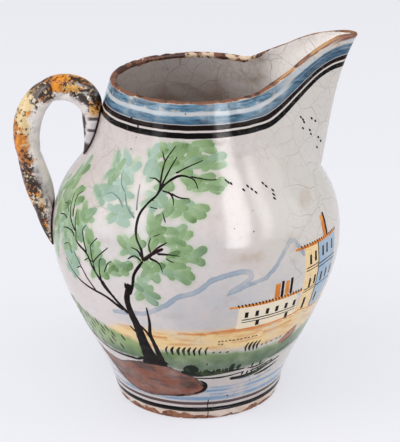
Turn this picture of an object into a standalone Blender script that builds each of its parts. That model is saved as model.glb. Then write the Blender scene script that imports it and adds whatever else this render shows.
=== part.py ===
"""Tin-glazed ceramic jug, in metres with +Z up.

A thrown ovoid body stands on a turned foot.  The front of its neck is cut away and a folded
pouring lip is luted into the notch.  The handle is two clay rolls twisted round each other,
whose ends part and are drawn out to points on the neck and on the belly.
The origin is the centre of the foot's underside, the lip points along +X, the handle along -X.
"""
import math

import bmesh
import bpy
import numpy as np

# Joints between pieces
SEAT_GAP = 0.0003

# Foot
FOOT_HEIGHT = 0.0085
FOOT_BASE_RADIUS = 0.0543
FOOT_TOP_RADIUS = 0.0572
FOOT_ROUNDING = 0.0012

# Thrown body: outer profile
BASE_RADIUS = 0.0570
BASE_FLARE = math.radians(8.0)
BELLY_RADIUS = 0.0957
BELLY_HEIGHT = 0.1155
NECK_RADIUS = 0.0685
NECK_HEIGHT = 0.1774
NECK_LEAN = math.radians(26.8)
RIM_RADIUS = 0.0548
RIM_HEIGHT = 0.2220
RIM_LEAN = math.radians(20.4)

# Curvature of the profile: length of each curve handle as a share of its stretch's height
BASE_PULL = 0.20
BELLY_PULL_DOWN = 0.334
BELLY_PULL_UP = 0.60
NECK_PULL_DOWN = 0.35
NECK_PULL_UP = 0.295
RIM_PULL = 0.43

# Thrown body: wall and floor
WALL = 0.0050
FLOOR = 0.0070

# Pouring lip
LIP_REACH = 0.1058
LIP_RISE = 0.0290
LIP_RISE_POWER = 1.22
LIP_WALL = 0.0040
LIP_ROOT_DROP = 0.0180
LIP_ROOT_STEP = 0.0012
LIP_ROOT_SLOPE = 0.20
LIP_TIP_SLOPE = 0.55
LIP_NOSE_ROOT_RADIUS = 0.0140
LIP_NOSE_TIP_RADIUS = 0.0056
LIP_TROUGH_RADIUS = 0.0012
LIP_SEAM_LEAD = 0.0045
NOTCH_DEPTH = 1.6
NOTCH_PROUD = 0.0015

# Handle: path of the pair of rolls
HANDLE_GAP = 0.0349
HANDLE_REACH_DROP = 0.0410
HANDLE_CROWN_DROP = 0.0070
HANDLE_CROWN_GAP = 0.0315
HANDLE_ROUNDNESS = 0.56
TOP_SEAT_DROP = 0.0240
TOP_SEAT_OFFSET = 0.0056
LOW_SEAT_RISE = 0.0145
LOW_SEAT_OFFSET = 0.0066

# Handle: the two rolls
ROLL_WIDTH = 0.0094
ROLL_HALF_DEPTH = 0.0084
ROLL_SQUARENESS = 2.5
TWIST_TURNS = 1.5
TAIL_TIP = 0.0011
TAIL_SPREAD = 0.0045
TOP_TAIL_LENGTHS = (0.0275, 0.0190)
LOW_TAIL_LENGTHS = (0.0270, 0.0235)
TOP_TAPER = 0.0400
LOW_TAPER = 0.0480

# Facets
TURN_STEPS = 64
CURVE_POINTS = 9
RIM_POINTS = 4
LIP_ROWS = 17
LIP_ROW_CROWDING = 1.5
LIP_NOSE_COLUMNS = 4
LIP_WALL_COLUMNS = 7
NOTCH_COLUMNS = 16
LIP_COLUMNS = LIP_NOSE_COLUMNS + LIP_WALL_COLUMNS
ROLL_STATIONS = 60
ROLL_SIDES = 14
PATH_SAMPLES = 400
RIM_PASSES = 20
MERGE_DISTANCE = 0.00001
SHARP_ANGLE = math.radians(40.0)

# Finish
GLAZE_WHITE = (0.70, 0.66, 0.67)
BARE_CLAY = (0.42, 0.25, 0.16)
OCHRE = (0.62, 0.30, 0.05)
CREAM = (0.68, 0.60, 0.48)
GLAZE_ROUGHNESS = 0.12
HANDLE_ROUGHNESS = 0.15
CLAY_ROUGHNESS = 0.60


def clear_scene():
    for item in list(bpy.data.objects):
        bpy.data.objects.remove(item, do_unlink=True)


def new_collection(name):
    collection = bpy.data.collections.new(name)
    bpy.context.scene.collection.children.link(collection)
    return collection


def glazed(name, colour, roughness):
    material = bpy.data.materials.new(name)
    material.use_nodes = True
    shader = material.node_tree.nodes["Principled BSDF"]
    shader.inputs["Base Color"].default_value = (*colour, 1.0)
    shader.inputs["Roughness"].default_value = roughness
    shader.inputs["Metallic"].default_value = 0.0
    return material


def mesh_object(name, verts, edges, faces, collection, material=None):
    mesh = bpy.data.meshes.new(name)
    mesh.from_pydata([tuple(v) for v in verts], edges, faces)
    mesh.validate()
    if faces:
        work = bmesh.new()
        work.from_mesh(mesh)
        bmesh.ops.recalc_face_normals(work, faces=work.faces)
        work.to_mesh(mesh)
        work.free()
        mesh.shade_smooth()
        mesh.set_sharp_from_angle(angle=SHARP_ANGLE)
    item = bpy.data.objects.new(name, mesh)
    collection.objects.link(item)
    if material:
        mesh.materials.append(material)
    return item


def hide_cutter(item):
    item.hide_render = True
    item.display_type = "WIRE"


def turned(name, profile, collection, material=None):
    """Turn a profile of (radius, height) points about Z; it runs down its outer side."""
    verts = [(radius, 0.0, height) for radius, height in profile]
    edges = [(i, i + 1) for i in range(len(verts) - 1)]
    item = mesh_object(name, verts, edges, [], collection, material)
    screw = item.modifiers.new("turn", "SCREW")
    screw.steps = TURN_STEPS
    screw.render_steps = TURN_STEPS
    screw.use_merge_vertices = True
    screw.merge_threshold = MERGE_DISTANCE
    screw.use_smooth_shade = True
    return item


def cut(item, cutter):
    boolean = item.modifiers.new("cut by " + cutter.name, "BOOLEAN")
    boolean.operation = "DIFFERENCE"
    boolean.solver = "EXACT"
    boolean.object = cutter


def bezier(start, pull_start, pull_end, end, count):
    t = np.linspace(0.0, 1.0, count)[:, None]
    points = [np.asarray(p, float) for p in (start, pull_start, pull_end, end)]
    weights = ((1 - t) ** 3, 3 * t * (1 - t) ** 2, 3 * t * t * (1 - t), t ** 3)
    return sum(weight * point for weight, point in zip(weights, points))


def outer_profile(count):
    """Body's outer outline as (radius, height), from the base up to the rim."""
    base = np.array([BASE_RADIUS, FOOT_HEIGHT + SEAT_GAP])
    belly = np.array([BELLY_RADIUS, BELLY_HEIGHT])
    neck = np.array([NECK_RADIUS, NECK_HEIGHT])
    rim = np.array([RIM_RADIUS, RIM_HEIGHT])
    upward = np.array([0.0, 1.0])
    flare = np.array([math.sin(BASE_FLARE), math.cos(BASE_FLARE)])
    neck_way = np.array([-math.sin(NECK_LEAN), math.cos(NECK_LEAN)])
    rim_way = np.array([-math.sin(RIM_LEAN), math.cos(RIM_LEAN)])
    low = belly[1] - base[1]
    middle = neck[1] - belly[1]
    high = rim[1] - neck[1]
    stretches = (
        bezier(base, base + BASE_PULL * low * flare, belly - BELLY_PULL_DOWN * low * upward, belly, count),
        bezier(belly, belly + BELLY_PULL_UP * middle * upward,
               neck - NECK_PULL_DOWN * middle * neck_way, neck, count)[1:],
        bezier(neck, neck + NECK_PULL_UP * high * neck_way, rim - RIM_PULL * high * rim_way, rim, count)[1:],
    )
    return np.vstack(stretches)


FINE_PROFILE = outer_profile(PATH_SAMPLES)


def body_radius(height):
    """Outer radius at a height; above the rim the neck's lean carries on, for the lip."""
    above = np.maximum(np.asarray(height, float) - RIM_HEIGHT, 0.0)
    return np.interp(height, FINE_PROFILE[:, 1], FINE_PROFILE[:, 0]) - above * math.tan(RIM_LEAN)


def foot_profile():
    corner = np.linspace(0.0, math.pi / 2, RIM_POINTS)
    edge = [(FOOT_BASE_RADIUS - FOOT_ROUNDING * (1 - math.cos(a)), FOOT_ROUNDING * (1 - math.sin(a)))
            for a in corner]
    return [(0.0, FOOT_HEIGHT), (FOOT_TOP_RADIUS, FOOT_HEIGHT)] + edge + [(0.0, 0.0)]


def body_profile():
    """Closed wall: up the inside from the floor's centre, over the rounded rim, down the outside."""
    outside = outer_profile(CURVE_POINTS)
    slope = np.gradient(outside, axis=0)
    slope /= np.linalg.norm(slope, axis=1)[:, None]
    inside = outside - WALL * np.column_stack([slope[:, 1], -slope[:, 0]])
    floor_height = FOOT_HEIGHT + SEAT_GAP + FLOOR
    inside = inside[inside[:, 1] > floor_height + WALL]
    corner_radius = float(np.interp(floor_height, inside[:, 1], inside[:, 0])) - WALL
    crown = (outside[-1] + inside[-1]) / 2
    across = (outside[-1] - inside[-1]) / 2
    along = np.array([-across[1], across[0]])
    turn = np.linspace(math.pi, 0.0, RIM_POINTS + 2)[1:-1]
    rim = [crown + math.cos(a) * across + math.sin(a) * along for a in turn]
    floor = [(0.0, floor_height), (corner_radius, floor_height)]
    base = [(0.0, FOOT_HEIGHT + SEAT_GAP)]
    wall = [tuple(p) for p in (*inside, *rim, *outside[::-1])]
    return floor + wall + base


# Heights of the lip's root, where its keel leaves the body, and of its tip
LIP_ROOT_HEIGHT = NECK_HEIGHT - LIP_ROOT_DROP
LIP_TIP_HEIGHT = RIM_HEIGHT + LIP_RISE


def keel_line():
    """Front edge of the lip as (reach, height), from its root on the body to its tip."""
    root = np.array([float(body_radius(LIP_ROOT_HEIGHT)) + LIP_ROOT_STEP, LIP_ROOT_HEIGHT])
    tip = np.array([LIP_REACH, LIP_TIP_HEIGHT])
    third = (LIP_TIP_HEIGHT - LIP_ROOT_HEIGHT) / 3
    return bezier(root, root + third * np.array([LIP_ROOT_SLOPE, 1.0]),
                  tip - third * np.array([LIP_TIP_SLOPE, 1.0]), tip, PATH_SAMPLES)


KEEL = keel_line()


def lip_section(height):
    """Neck radius, nose centre, nose radius and the angle where the lip's wall leaves the neck."""
    share = (height - LIP_ROOT_HEIGHT) / (LIP_TIP_HEIGHT - LIP_ROOT_HEIGHT)
    nose = LIP_NOSE_ROOT_RADIUS + (LIP_NOSE_TIP_RADIUS - LIP_NOSE_ROOT_RADIUS) * share
    neck = float(body_radius(height))
    centre = float(np.interp(height, KEEL[:, 1], KEEL[:, 0])) - nose
    angle = math.acos(min((neck - nose) / centre, 1.0))
    return neck, centre, nose, angle


def seam_angle(height):
    """Half angle of the notch in the neck, a little inside where the lip's wall leaves it."""
    neck, _, _, angle = lip_section(height)
    return angle - LIP_SEAM_LEAD / neck


def lip_point(column, height, inset):
    """Plan point of the lip for a column from 0 at the keel to 1 at the seam, set in by a wall."""
    neck, centre, nose, angle = lip_section(height)
    seam = seam_angle(height) - SEAT_GAP / neck
    if inset:
        centre += (nose - inset - LIP_TROUGH_RADIUS) / math.cos(angle)
        nose = LIP_TROUGH_RADIUS
        neck -= inset
    place = column * LIP_COLUMNS
    if place <= LIP_NOSE_COLUMNS:
        turn = angle * place / LIP_NOSE_COLUMNS
        return centre + nose * math.cos(turn), nose * math.sin(turn)
    share = (place - LIP_NOSE_COLUMNS) / LIP_WALL_COLUMNS
    seam_reach = neck / math.cos(angle - seam)
    start = np.array((centre + nose * math.cos(angle), nose * math.sin(angle)))
    end = seam_reach * np.array((math.cos(seam), math.sin(seam)))
    return tuple(start + (end - start) * share)


def rim_height(reach):
    """Height of the rim where it stands at a distance along the lip: level, then rising to the tip."""
    start = RIM_RADIUS * math.cos(seam_angle(RIM_HEIGHT))
    share = min(max((reach - start) / (LIP_REACH - start), 0.0), 1.0)
    return RIM_HEIGHT + LIP_RISE * math.sin(share * math.pi / 2) ** LIP_RISE_POWER


def column_rim_height(column):
    height = RIM_HEIGHT
    for _ in range(RIM_PASSES):
        height = rim_height(lip_point(column, height, 0.0)[0])
    return height


def lip_levels(top):
    """Heights of the lip's rows, from its root to where its rim rounds over, closest at the root."""
    shares = np.linspace(0.0, 1.0, LIP_ROWS) ** LIP_ROW_CROWDING
    return LIP_ROOT_HEIGHT + (top - LIP_WALL / 2 - LIP_ROOT_HEIGHT) * shares


def lip_loop(column, side):
    """One closed section down the lip: up its outside, over the rim and down its inside."""
    levels = lip_levels(column_rim_height(column))
    floor = LIP_ROOT_HEIGHT + SEAT_GAP
    outside = [np.array((*lip_point(column, h, 0.0), max(h, floor))) for h in levels]
    inside = [np.array((*lip_point(column, h, LIP_WALL), max(h, floor))) for h in levels]
    middle = (outside[-1] + inside[-1]) / 2
    across = (outside[-1] - inside[-1]) / 2
    lift = np.array((0.0, 0.0, LIP_WALL / 2))
    turns = np.linspace(0.0, math.pi, RIM_POINTS + 2)[1:-1]
    rim = [middle + math.cos(a) * across + math.sin(a) * lift for a in turns]
    return [(x, side * y, z) for x, y, z in outside + rim + inside[::-1]]


def loft(name, loops, collection, material):
    """Skin over closed loops of equal, even length, with a ladder of faces across each end."""
    verts = [point for loop in loops for point in loop]
    size = len(loops[0])
    faces = []
    for i in range(len(loops) - 1):
        for j in range(size):
            k = (j + 1) % size
            faces.append((i * size + j, i * size + k, (i + 1) * size + k, (i + 1) * size + j))
    for start in (0, (len(loops) - 1) * size):
        for j in range(size // 2 - 1):
            faces.append((start + j, start + j + 1, start + size - 2 - j, start + size - 1 - j))
    return mesh_object(name, verts, [], faces, collection, material)


def pouring_lip(collection, material):
    near_side = [(i / LIP_COLUMNS, -1) for i in range(LIP_COLUMNS, 0, -1)]
    far_side = [(i / LIP_COLUMNS, 1) for i in range(LIP_COLUMNS + 1)]
    places = near_side + far_side
    return loft("pouring_lip", [lip_loop(column, side) for column, side in places], collection, material)


def lip_notch(collection):
    """Cutter for the notch in the neck: a curved wedge whose sides follow the seam to past the rim."""
    levels = lip_levels(RIM_HEIGHT)
    loops = []
    for height in [*levels, LIP_TIP_HEIGHT]:
        angle = seam_angle(min(height, levels[-1]))
        neck = float(body_radius(height))
        turns = np.linspace(-angle, angle, NOTCH_COLUMNS + 1)
        inner = neck - NOTCH_DEPTH * WALL
        outer = neck + NOTCH_PROUD
        sweep = [(inner, a) for a in turns] + [(outer, a) for a in turns[::-1]]
        loops.append([(radius * math.cos(a), radius * math.sin(a), height) for radius, a in sweep])
    item = loft("lip_notch", loops, collection, None)
    hide_cutter(item)
    return item


def handle_path(top_tail, low_tail):
    """Middle of the pair of rolls in the XZ plane: low tail, free stretch and top tail, in that order."""
    low_seat_height = BELLY_HEIGHT + LOW_SEAT_RISE
    top_seat_height = RIM_HEIGHT - TOP_SEAT_DROP
    reach_height = RIM_HEIGHT - HANDLE_REACH_DROP
    low_heights = np.linspace(low_seat_height - low_tail, low_seat_height, CURVE_POINTS)
    low_offsets = np.linspace(TAIL_TIP, LOW_SEAT_OFFSET, CURVE_POINTS)
    top_heights = np.linspace(top_seat_height, top_seat_height - top_tail, CURVE_POINTS)
    top_offsets = np.linspace(TOP_SEAT_OFFSET, TAIL_TIP, CURVE_POINTS)
    low = np.column_stack([-body_radius(low_heights) - low_offsets, low_heights])
    top = np.column_stack([-body_radius(top_heights) - top_offsets, top_heights])
    reach = np.array([-float(body_radius(reach_height)) - HANDLE_GAP - ROLL_WIDTH, reach_height])
    crown = np.array([-RIM_RADIUS - HANDLE_CROWN_GAP, RIM_HEIGHT - HANDLE_CROWN_DROP])
    up = np.array([0.0, HANDLE_ROUNDNESS])
    along = np.array([HANDLE_ROUNDNESS, 0.0])
    rise = reach[1] - low[-1][1]
    leave = HANDLE_ROUNDNESS * (low[-1] - low[-2]) / np.linalg.norm(low[-1] - low[-2])
    arrive = HANDLE_ROUNDNESS * (top[1] - top[0]) / np.linalg.norm(top[1] - top[0])
    free = np.vstack((
        bezier(low[-1], low[-1] + rise / 2 * leave, reach - rise / 2 * up, reach, PATH_SAMPLES),
        bezier(reach, reach + (crown[1] - reach[1]) * up, crown - (crown[0] - reach[0]) * along, crown,
               PATH_SAMPLES)[1:],
        bezier(crown, crown + (top[0][0] - crown[0]) * along,
               top[0] - (crown[1] - top[0][1]) * arrive, top[0], PATH_SAMPLES)[1:],
    ))
    return low, free, top


def path_length(path):
    return float(np.linalg.norm(np.diff(path, axis=0), axis=1).sum())


def resample(path, count):
    steps = np.linalg.norm(np.diff(path, axis=0), axis=1)
    along = np.concatenate([[0.0], np.cumsum(steps)])
    places = np.linspace(0.0, along[-1], count)
    return np.column_stack([np.interp(places, along, path[:, i]) for i in range(2)]), places


def taper(distance, length):
    """Share of a roll's full section at a distance from its point, full after a length."""
    return math.sin(min(distance / length, 1.0) * math.pi / 2)


def roll_section(width, half_depth):
    """Rounded, flat-sided outline of one roll, from its side on the twist's plane outwards."""
    outline = []
    for i in range(ROLL_SIDES):
        turn = 2 * math.pi * (i + 0.5) / ROLL_SIDES
        power = 2 / ROLL_SQUARENESS
        out = math.copysign(abs(math.cos(turn)) ** power, math.cos(turn))
        up = math.copysign(abs(math.sin(turn)) ** power, math.sin(turn))
        outline.append((out * width / 2, up * half_depth))
    return outline


def handle_roll(name, side, top_tail, low_tail, collection, material):
    """One of the two rolls: it starts on its own side at the belly and winds round the other."""
    low, free, top = handle_path(top_tail, low_tail)
    path, places = resample(np.vstack((low, free[1:], top[1:])), ROLL_STATIONS)
    low_length = path_length(low)
    free_length = path_length(free)
    length = places[-1]
    ways = np.gradient(path, axis=0)
    ways /= np.linalg.norm(ways, axis=1)[:, None]
    loops = []
    for point, way, place in zip(path, ways, places):
        low_share = taper(place, LOW_TAPER)
        top_share = taper(length - place, TOP_TAPER)
        share = min(low_share, top_share)
        width = TAIL_TIP + (ROLL_WIDTH - TAIL_TIP) * share
        half_depth = TAIL_TIP / 2 + (ROLL_HALF_DEPTH - TAIL_TIP / 2) * share
        spread = TAIL_SPREAD * (1 - share)
        wound = min(max((place - low_length) / free_length, 0.0), 1.0)
        turn = math.pi / 2 + 2 * math.pi * TWIST_TURNS * wound
        outward = np.array([-way[1], 0.0, way[0]])
        across = np.array([0.0, 1.0, 0.0])
        to_roll = math.cos(turn) * outward + math.sin(turn) * across
        to_edge = -math.sin(turn) * outward + math.cos(turn) * across
        middle = np.array([point[0], 0.0, point[1]]) + side * (SEAT_GAP / 2 + width / 2 + spread) * to_roll
        loops.append([tuple(middle + out * side * to_roll + up * to_edge)
                      for out, up in roll_section(width, half_depth)])
    return loft(name, loops, collection, material)


def handle_seat(collection):
    """Cutter that seats the rolls: the body's outside, grown by the seat gap."""
    outside = outer_profile(CURVE_POINTS)
    grown = [(radius + SEAT_GAP, height) for radius, height in outside[::-1]]
    item = turned("handle_seat", [(0.0, RIM_HEIGHT)] + grown + [(0.0, FOOT_HEIGHT + SEAT_GAP)], collection)
    hide_cutter(item)
    return item


def build():
    clear_scene()
    parts = new_collection("ceramic_jug")
    cutters = new_collection("cutters")
    turned("foot", foot_profile(), parts, glazed("foot clay", BARE_CLAY, CLAY_ROUGHNESS))
    body = turned("body", body_profile(), parts, glazed("body glaze", GLAZE_WHITE, GLAZE_ROUGHNESS))
    cut(body, lip_notch(cutters))
    pouring_lip(parts, glazed("lip glaze", GLAZE_WHITE, GLAZE_ROUGHNESS))
    seat = handle_seat(cutters)
    names = ("handle_roll_a", "handle_roll_b")
    rolls = zip(names, (1, -1), TOP_TAIL_LENGTHS, LOW_TAIL_LENGTHS, (OCHRE, CREAM))
    for name, side, top_tail, low_tail, colour in rolls:
        glaze = glazed(name + " glaze", colour, HANDLE_ROUGHNESS)
        roll = handle_roll(name, side, top_tail, low_tail, parts, glaze)
        cut(roll, seat)


build()
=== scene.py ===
import math

import bmesh
import bpy
import numpy as np
from mathutils import Matrix, Quaternion, Vector


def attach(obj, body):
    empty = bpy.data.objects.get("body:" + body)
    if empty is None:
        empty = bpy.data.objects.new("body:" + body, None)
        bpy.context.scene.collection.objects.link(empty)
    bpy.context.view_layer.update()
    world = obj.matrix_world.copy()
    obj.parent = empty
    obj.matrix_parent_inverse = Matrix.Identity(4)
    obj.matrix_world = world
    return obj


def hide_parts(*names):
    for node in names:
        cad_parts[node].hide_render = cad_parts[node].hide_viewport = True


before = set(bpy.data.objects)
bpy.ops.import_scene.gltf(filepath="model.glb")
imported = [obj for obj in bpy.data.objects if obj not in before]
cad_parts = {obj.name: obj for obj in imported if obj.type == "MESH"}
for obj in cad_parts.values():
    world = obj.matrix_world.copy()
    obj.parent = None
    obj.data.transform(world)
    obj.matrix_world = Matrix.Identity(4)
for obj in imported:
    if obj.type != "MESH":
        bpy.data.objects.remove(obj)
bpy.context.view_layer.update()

MM = 0.001
rng = np.random.default_rng(7)

# Sizes of the thrown body, in metres, as in the solids
FOOT_HEIGHT = 0.0085
FOOT_BASE_RADIUS = 0.0543
FOOT_TOP_RADIUS = 0.0572
BASE_RADIUS = 0.0570
BASE_HEIGHT = 0.0086
BELLY_RADIUS = 0.0957
BELLY_HEIGHT = 0.1155
NECK_RADIUS = 0.0685
NECK_HEIGHT = 0.1774
RIM_RADIUS = 0.0548
RIM_HEIGHT = 0.2220
WALL = 0.0050
FLOOR_HEIGHT = 0.0158
BASE_FLARE = math.radians(8.0)
NECK_LEAN = math.radians(26.8)
RIM_LEAN = math.radians(20.4)

# Fullness of the outline's curves, as shares of each curve's height
BASE_PULL = 0.20
BELLY_PULL_DOWN = 0.334
BELLY_PULL_UP = 0.60
NECK_PULL_DOWN = 0.35
NECK_PULL_UP = 0.295
RIM_PULL = 0.43

# Pouring lip
LIP_REACH = 0.1058
LIP_RISE = 0.0290
LIP_RISE_POWER = 1.22
LIP_NEAR_RISE_POWER = 1.80
LIP_ROOT_HEIGHT = NECK_HEIGHT - 0.0180
LIP_TIP_HEIGHT = RIM_HEIGHT + LIP_RISE
LIP_ROOT_STEP = 0.0012
LIP_ROOT_FADE = 0.0060
LIP_ROOT_SLOPE = 0.20
LIP_TIP_SLOPE = 0.55
LIP_NOSE_ROOT_RADIUS = 0.0140
LIP_NOSE_TIP_RADIUS = 0.0056
LIP_TROUGH_RADIUS = 0.0012
LIP_SEAM_LEAD = 0.0045
LARGEST_LEAN = 1.5

# Thinning of the wall towards the rim and along the lip: shares, and where they set in and end
RIM_THINNING = 0.18
LIP_THINNING = 0.30
LIP_THIN_START = (0.046, 0.064)
LIP_THIN_END = (0.104, 0.090)
THIN_BELOW_RIM = (0.030, 0.004)

# Unevenness of the hand-thrown wall, in millimetres: slow waves (size, waves round, phase, twist) and rings
SLOW_WAVES = ((0.30, 2, 0.7, 9), (0.22, 3, 0.0, -14))
RING_SIZE = 0.05
RING_PITCH = 0.0075
RING_DRIFT = 1.5
WOBBLE_FADE = 0.03
WOBBLE_LEAST = 0.25

# Grid of the glazed surface
NOSE_COLUMNS = 6
WALL_COLUMNS = 26
NECK_COLUMNS = 180
LOW_ROWS = 96
HIGH_ROWS = 58
RIM_ROWS = 9
INNER_ROWS = 22
BASE_RINGS = (0.3, 0.65, 0.92)
FLOOR_RINGS = (0.92, 0.8, 0.55, 0.25)
BASE_DROP = 230.0
FLOOR_DROP = -200.0
UNPAINTED = -9.0
LEAST_FRONT = math.radians(12.0)
RIM_ROUND = 0.0020
RIM_PASSES = 20
SHARP_ANGLE = math.radians(42.0)


def smoothstep(low, high, value):
    share = np.clip((value - low) / (high - low), 0.0, 1.0)
    return share * share * (3 - 2 * share)


def bezier(start, pull_start, pull_end, end, count=400):
    t = np.linspace(0.0, 1.0, count)[:, None]
    return ((1 - t) ** 3 * start + 3 * t * (1 - t) ** 2 * pull_start
            + 3 * t * t * (1 - t) * pull_end + t ** 3 * end)


def leaning(angle):
    """Way up an outline that leans outwards by an angle."""
    return np.array([math.sin(angle), math.cos(angle)])


def outer_profile():
    """Body's outer outline as (radius, height), from the base up to the rim."""
    base, belly = np.array([[BASE_RADIUS, BASE_HEIGHT], [BELLY_RADIUS, BELLY_HEIGHT]])
    neck, rim = np.array([[NECK_RADIUS, NECK_HEIGHT], [RIM_RADIUS, RIM_HEIGHT]])
    low = (BELLY_HEIGHT - BASE_HEIGHT) * leaning(0.0)
    flare = (BELLY_HEIGHT - BASE_HEIGHT) * leaning(BASE_FLARE)
    middle = (NECK_HEIGHT - BELLY_HEIGHT) * leaning(0.0)
    shoulder = (NECK_HEIGHT - BELLY_HEIGHT) * leaning(-NECK_LEAN)
    high = (RIM_HEIGHT - NECK_HEIGHT) * leaning(-NECK_LEAN)
    mouth = (RIM_HEIGHT - NECK_HEIGHT) * leaning(-RIM_LEAN)
    return np.vstack((
        bezier(base, base + BASE_PULL * flare, belly - BELLY_PULL_DOWN * low, belly),
        bezier(belly, belly + BELLY_PULL_UP * middle, neck - NECK_PULL_DOWN * shoulder, neck)[1:],
        bezier(neck, neck + NECK_PULL_UP * high, rim - RIM_PULL * mouth, rim)[1:],
    ))


PROFILE = outer_profile()
PROFILE_SLOPE = np.gradient(PROFILE[:, 0], PROFILE[:, 1])


def body_radius(height):
    """Outer radius at a height; above the rim the neck's lean carries on, for the lip."""
    above = np.maximum(height - RIM_HEIGHT, 0.0)
    return np.interp(height, PROFILE[:, 1], PROFILE[:, 0]) - above * math.tan(RIM_LEAN)


def surface_stretch(height):
    """Length along the outline for each unit of height."""
    return np.sqrt(1 + np.interp(height, PROFILE[:, 1], PROFILE_SLOPE) ** 2)


def keel_line():
    """Lip's front edge as (reach, height), from its root on the neck up to its tip."""
    root = np.array([float(body_radius(LIP_ROOT_HEIGHT)) + LIP_ROOT_STEP, LIP_ROOT_HEIGHT])
    tip = np.array([LIP_REACH, LIP_TIP_HEIGHT])
    third = (LIP_TIP_HEIGHT - LIP_ROOT_HEIGHT) / 3
    return bezier(root, root + third * np.array([LIP_ROOT_SLOPE, 1.0]),
                  tip - third * np.array([LIP_TIP_SLOPE, 1.0]), tip)


KEEL = keel_line()


def lip_section(height, inset=0.0):
    """Neck radius, nose centre, nose radius and tangent angle of the plan outline at each height."""
    share = np.clip((height - LIP_ROOT_HEIGHT) / (LIP_TIP_HEIGHT - LIP_ROOT_HEIGHT), 0.0, 1.0)
    nose = LIP_NOSE_ROOT_RADIUS + (LIP_NOSE_TIP_RADIUS - LIP_NOSE_ROOT_RADIUS) * share
    neck = body_radius(height)
    rise = np.interp(height, KEEL[:, 1], KEEL[:, 0]) - neck
    fade = LIP_ROOT_STEP * smoothstep(LIP_ROOT_HEIGHT - LIP_ROOT_FADE, LIP_ROOT_HEIGHT, height)
    centre = neck + np.where(height > LIP_ROOT_HEIGHT, rise, fade) - nose
    angle = np.arccos(np.clip((neck - nose) / centre, -1.0, 1.0))
    trough = np.where(inset > 0, LIP_TROUGH_RADIUS, nose)
    centre = centre + (nose - inset - trough) / np.cos(angle) * (inset > 0)
    return neck - inset, centre, trough, angle


def plan_radius(turn, neck, centre, nose, angle):
    """Radius of the plan outline in a direction: nose arc, tangent wall, then the neck's circle."""
    turn = np.abs(turn)
    nose_turn = np.arctan2(nose * np.sin(angle), centre + nose * np.cos(angle))
    wall = neck / np.cos(np.minimum(angle - turn, LARGEST_LEAN))
    tip = centre * np.cos(turn) + np.sqrt(np.maximum(nose ** 2 - (centre * np.sin(turn)) ** 2, 0.0))
    return np.where(turn >= angle, neck, np.where(turn >= nose_turn, wall, tip))


def column_turn(place, height):
    """Direction of a column, counted from the lip's keel, so that columns follow the lip's seam."""
    neck, centre, nose, angle = lip_section(height)
    front = np.maximum(angle, LEAST_FRONT)
    arc = front * np.clip(place / NOSE_COLUMNS, 0, 1)
    on_nose = np.arctan2(nose * np.sin(arc), centre + nose * np.cos(arc))
    share = np.clip((place - NOSE_COLUMNS) / WALL_COLUMNS, 0, 1)
    start = (centre + nose * np.cos(front), nose * np.sin(front))
    end = (neck * np.cos(front), neck * np.sin(front))
    on_wall = np.arctan2(start[1] + (end[1] - start[1]) * share, start[0] + (end[0] - start[0]) * share)
    on_neck = front + (math.pi - front) * (place - NOSE_COLUMNS - WALL_COLUMNS) / NECK_COLUMNS
    return np.where(place <= NOSE_COLUMNS, on_nose,
                    np.where(place <= NOSE_COLUMNS + WALL_COLUMNS, on_wall, on_neck))


def rim_rise(reach, near):
    """Height that the rim gains along the lip."""
    neck, _, _, angle = lip_section(np.array(RIM_HEIGHT))
    start = RIM_RADIUS * math.cos(float(angle) - LIP_SEAM_LEAD / float(neck))
    share = np.clip((reach - start) / (LIP_REACH - start), 0.0, 1.0)
    return LIP_RISE * np.sin(share * math.pi / 2) ** np.where(near, LIP_NEAR_RISE_POWER, LIP_RISE_POWER)


def column_tops(places, near):
    """Rim height over each column: level round the neck, rising along the lip, more evenly on the near side."""
    tops = np.full(len(places), RIM_HEIGHT)
    for _ in range(RIM_PASSES):
        turns = column_turn(places, tops)
        tops = RIM_HEIGHT + rim_rise(plan_radius(turns, *lip_section(tops)) * np.cos(turns), near)
    return tops


def wobble(turn, height):
    """Small unevenness of a hand-thrown wall."""
    waves = sum(size * np.sin(count * turn + phase + twist * height) for size, count, phase, twist in SLOW_WAVES)
    rings = RING_SIZE * np.sin(height * 2 * math.pi / RING_PITCH + RING_DRIFT * np.sin(turn))
    fade = smoothstep(0.0, WOBBLE_FADE, height)
    fade = fade * smoothstep(LIP_TIP_HEIGHT, RIM_HEIGHT - WOBBLE_FADE, height)
    return (waves + rings) * MM * (WOBBLE_LEAST + (1 - WOBBLE_LEAST) * fade)


def outer_point(turn, height, lift=0.0):
    """Point on the glazed outside for a direction from the keel and a height."""
    radius = plan_radius(turn, *lip_section(height)) + wobble(turn, height) + lift
    return np.stack([radius * np.cos(turn), radius * np.sin(turn), height + 0 * turn], -1)


def inner_wall(height, below, reach):
    """Level distance from the outside to the inside: thinner near the rim, and thinnest along the lip."""
    thick = WALL * surface_stretch(np.minimum(height, RIM_HEIGHT))
    along_lip = smoothstep(*LIP_THIN_START, reach) * smoothstep(*LIP_THIN_END, reach)
    return thick * (1 - (RIM_THINNING + LIP_THINNING * along_lip) * smoothstep(*THIN_BELOW_RIM, below))


# Chips in the rim: place from the keel in degrees, width and depth in millimetres
CHIP_COUNT = 34
CHIP_WIDTHS = (1.2, 3.2)
CHIP_DEPTHS = (0.3, 0.9)
RIM_CHIPS = [(float(turn), float(rng.uniform(*CHIP_WIDTHS)), float(rng.uniform(*CHIP_DEPTHS)))
             for turn in rng.uniform(-180, 180, CHIP_COUNT)]


def rim_chip(turn):
    """Depth lost from the rim at each direction, in metres."""
    lost = np.zeros_like(turn)
    for place, width, depth in RIM_CHIPS:
        away = np.angle(np.exp(1j * (turn - math.radians(place)))) * RIM_RADIUS / MM
        lost = np.maximum(lost, depth * np.exp(-(away / width) ** 2))
    return lost * MM


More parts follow.
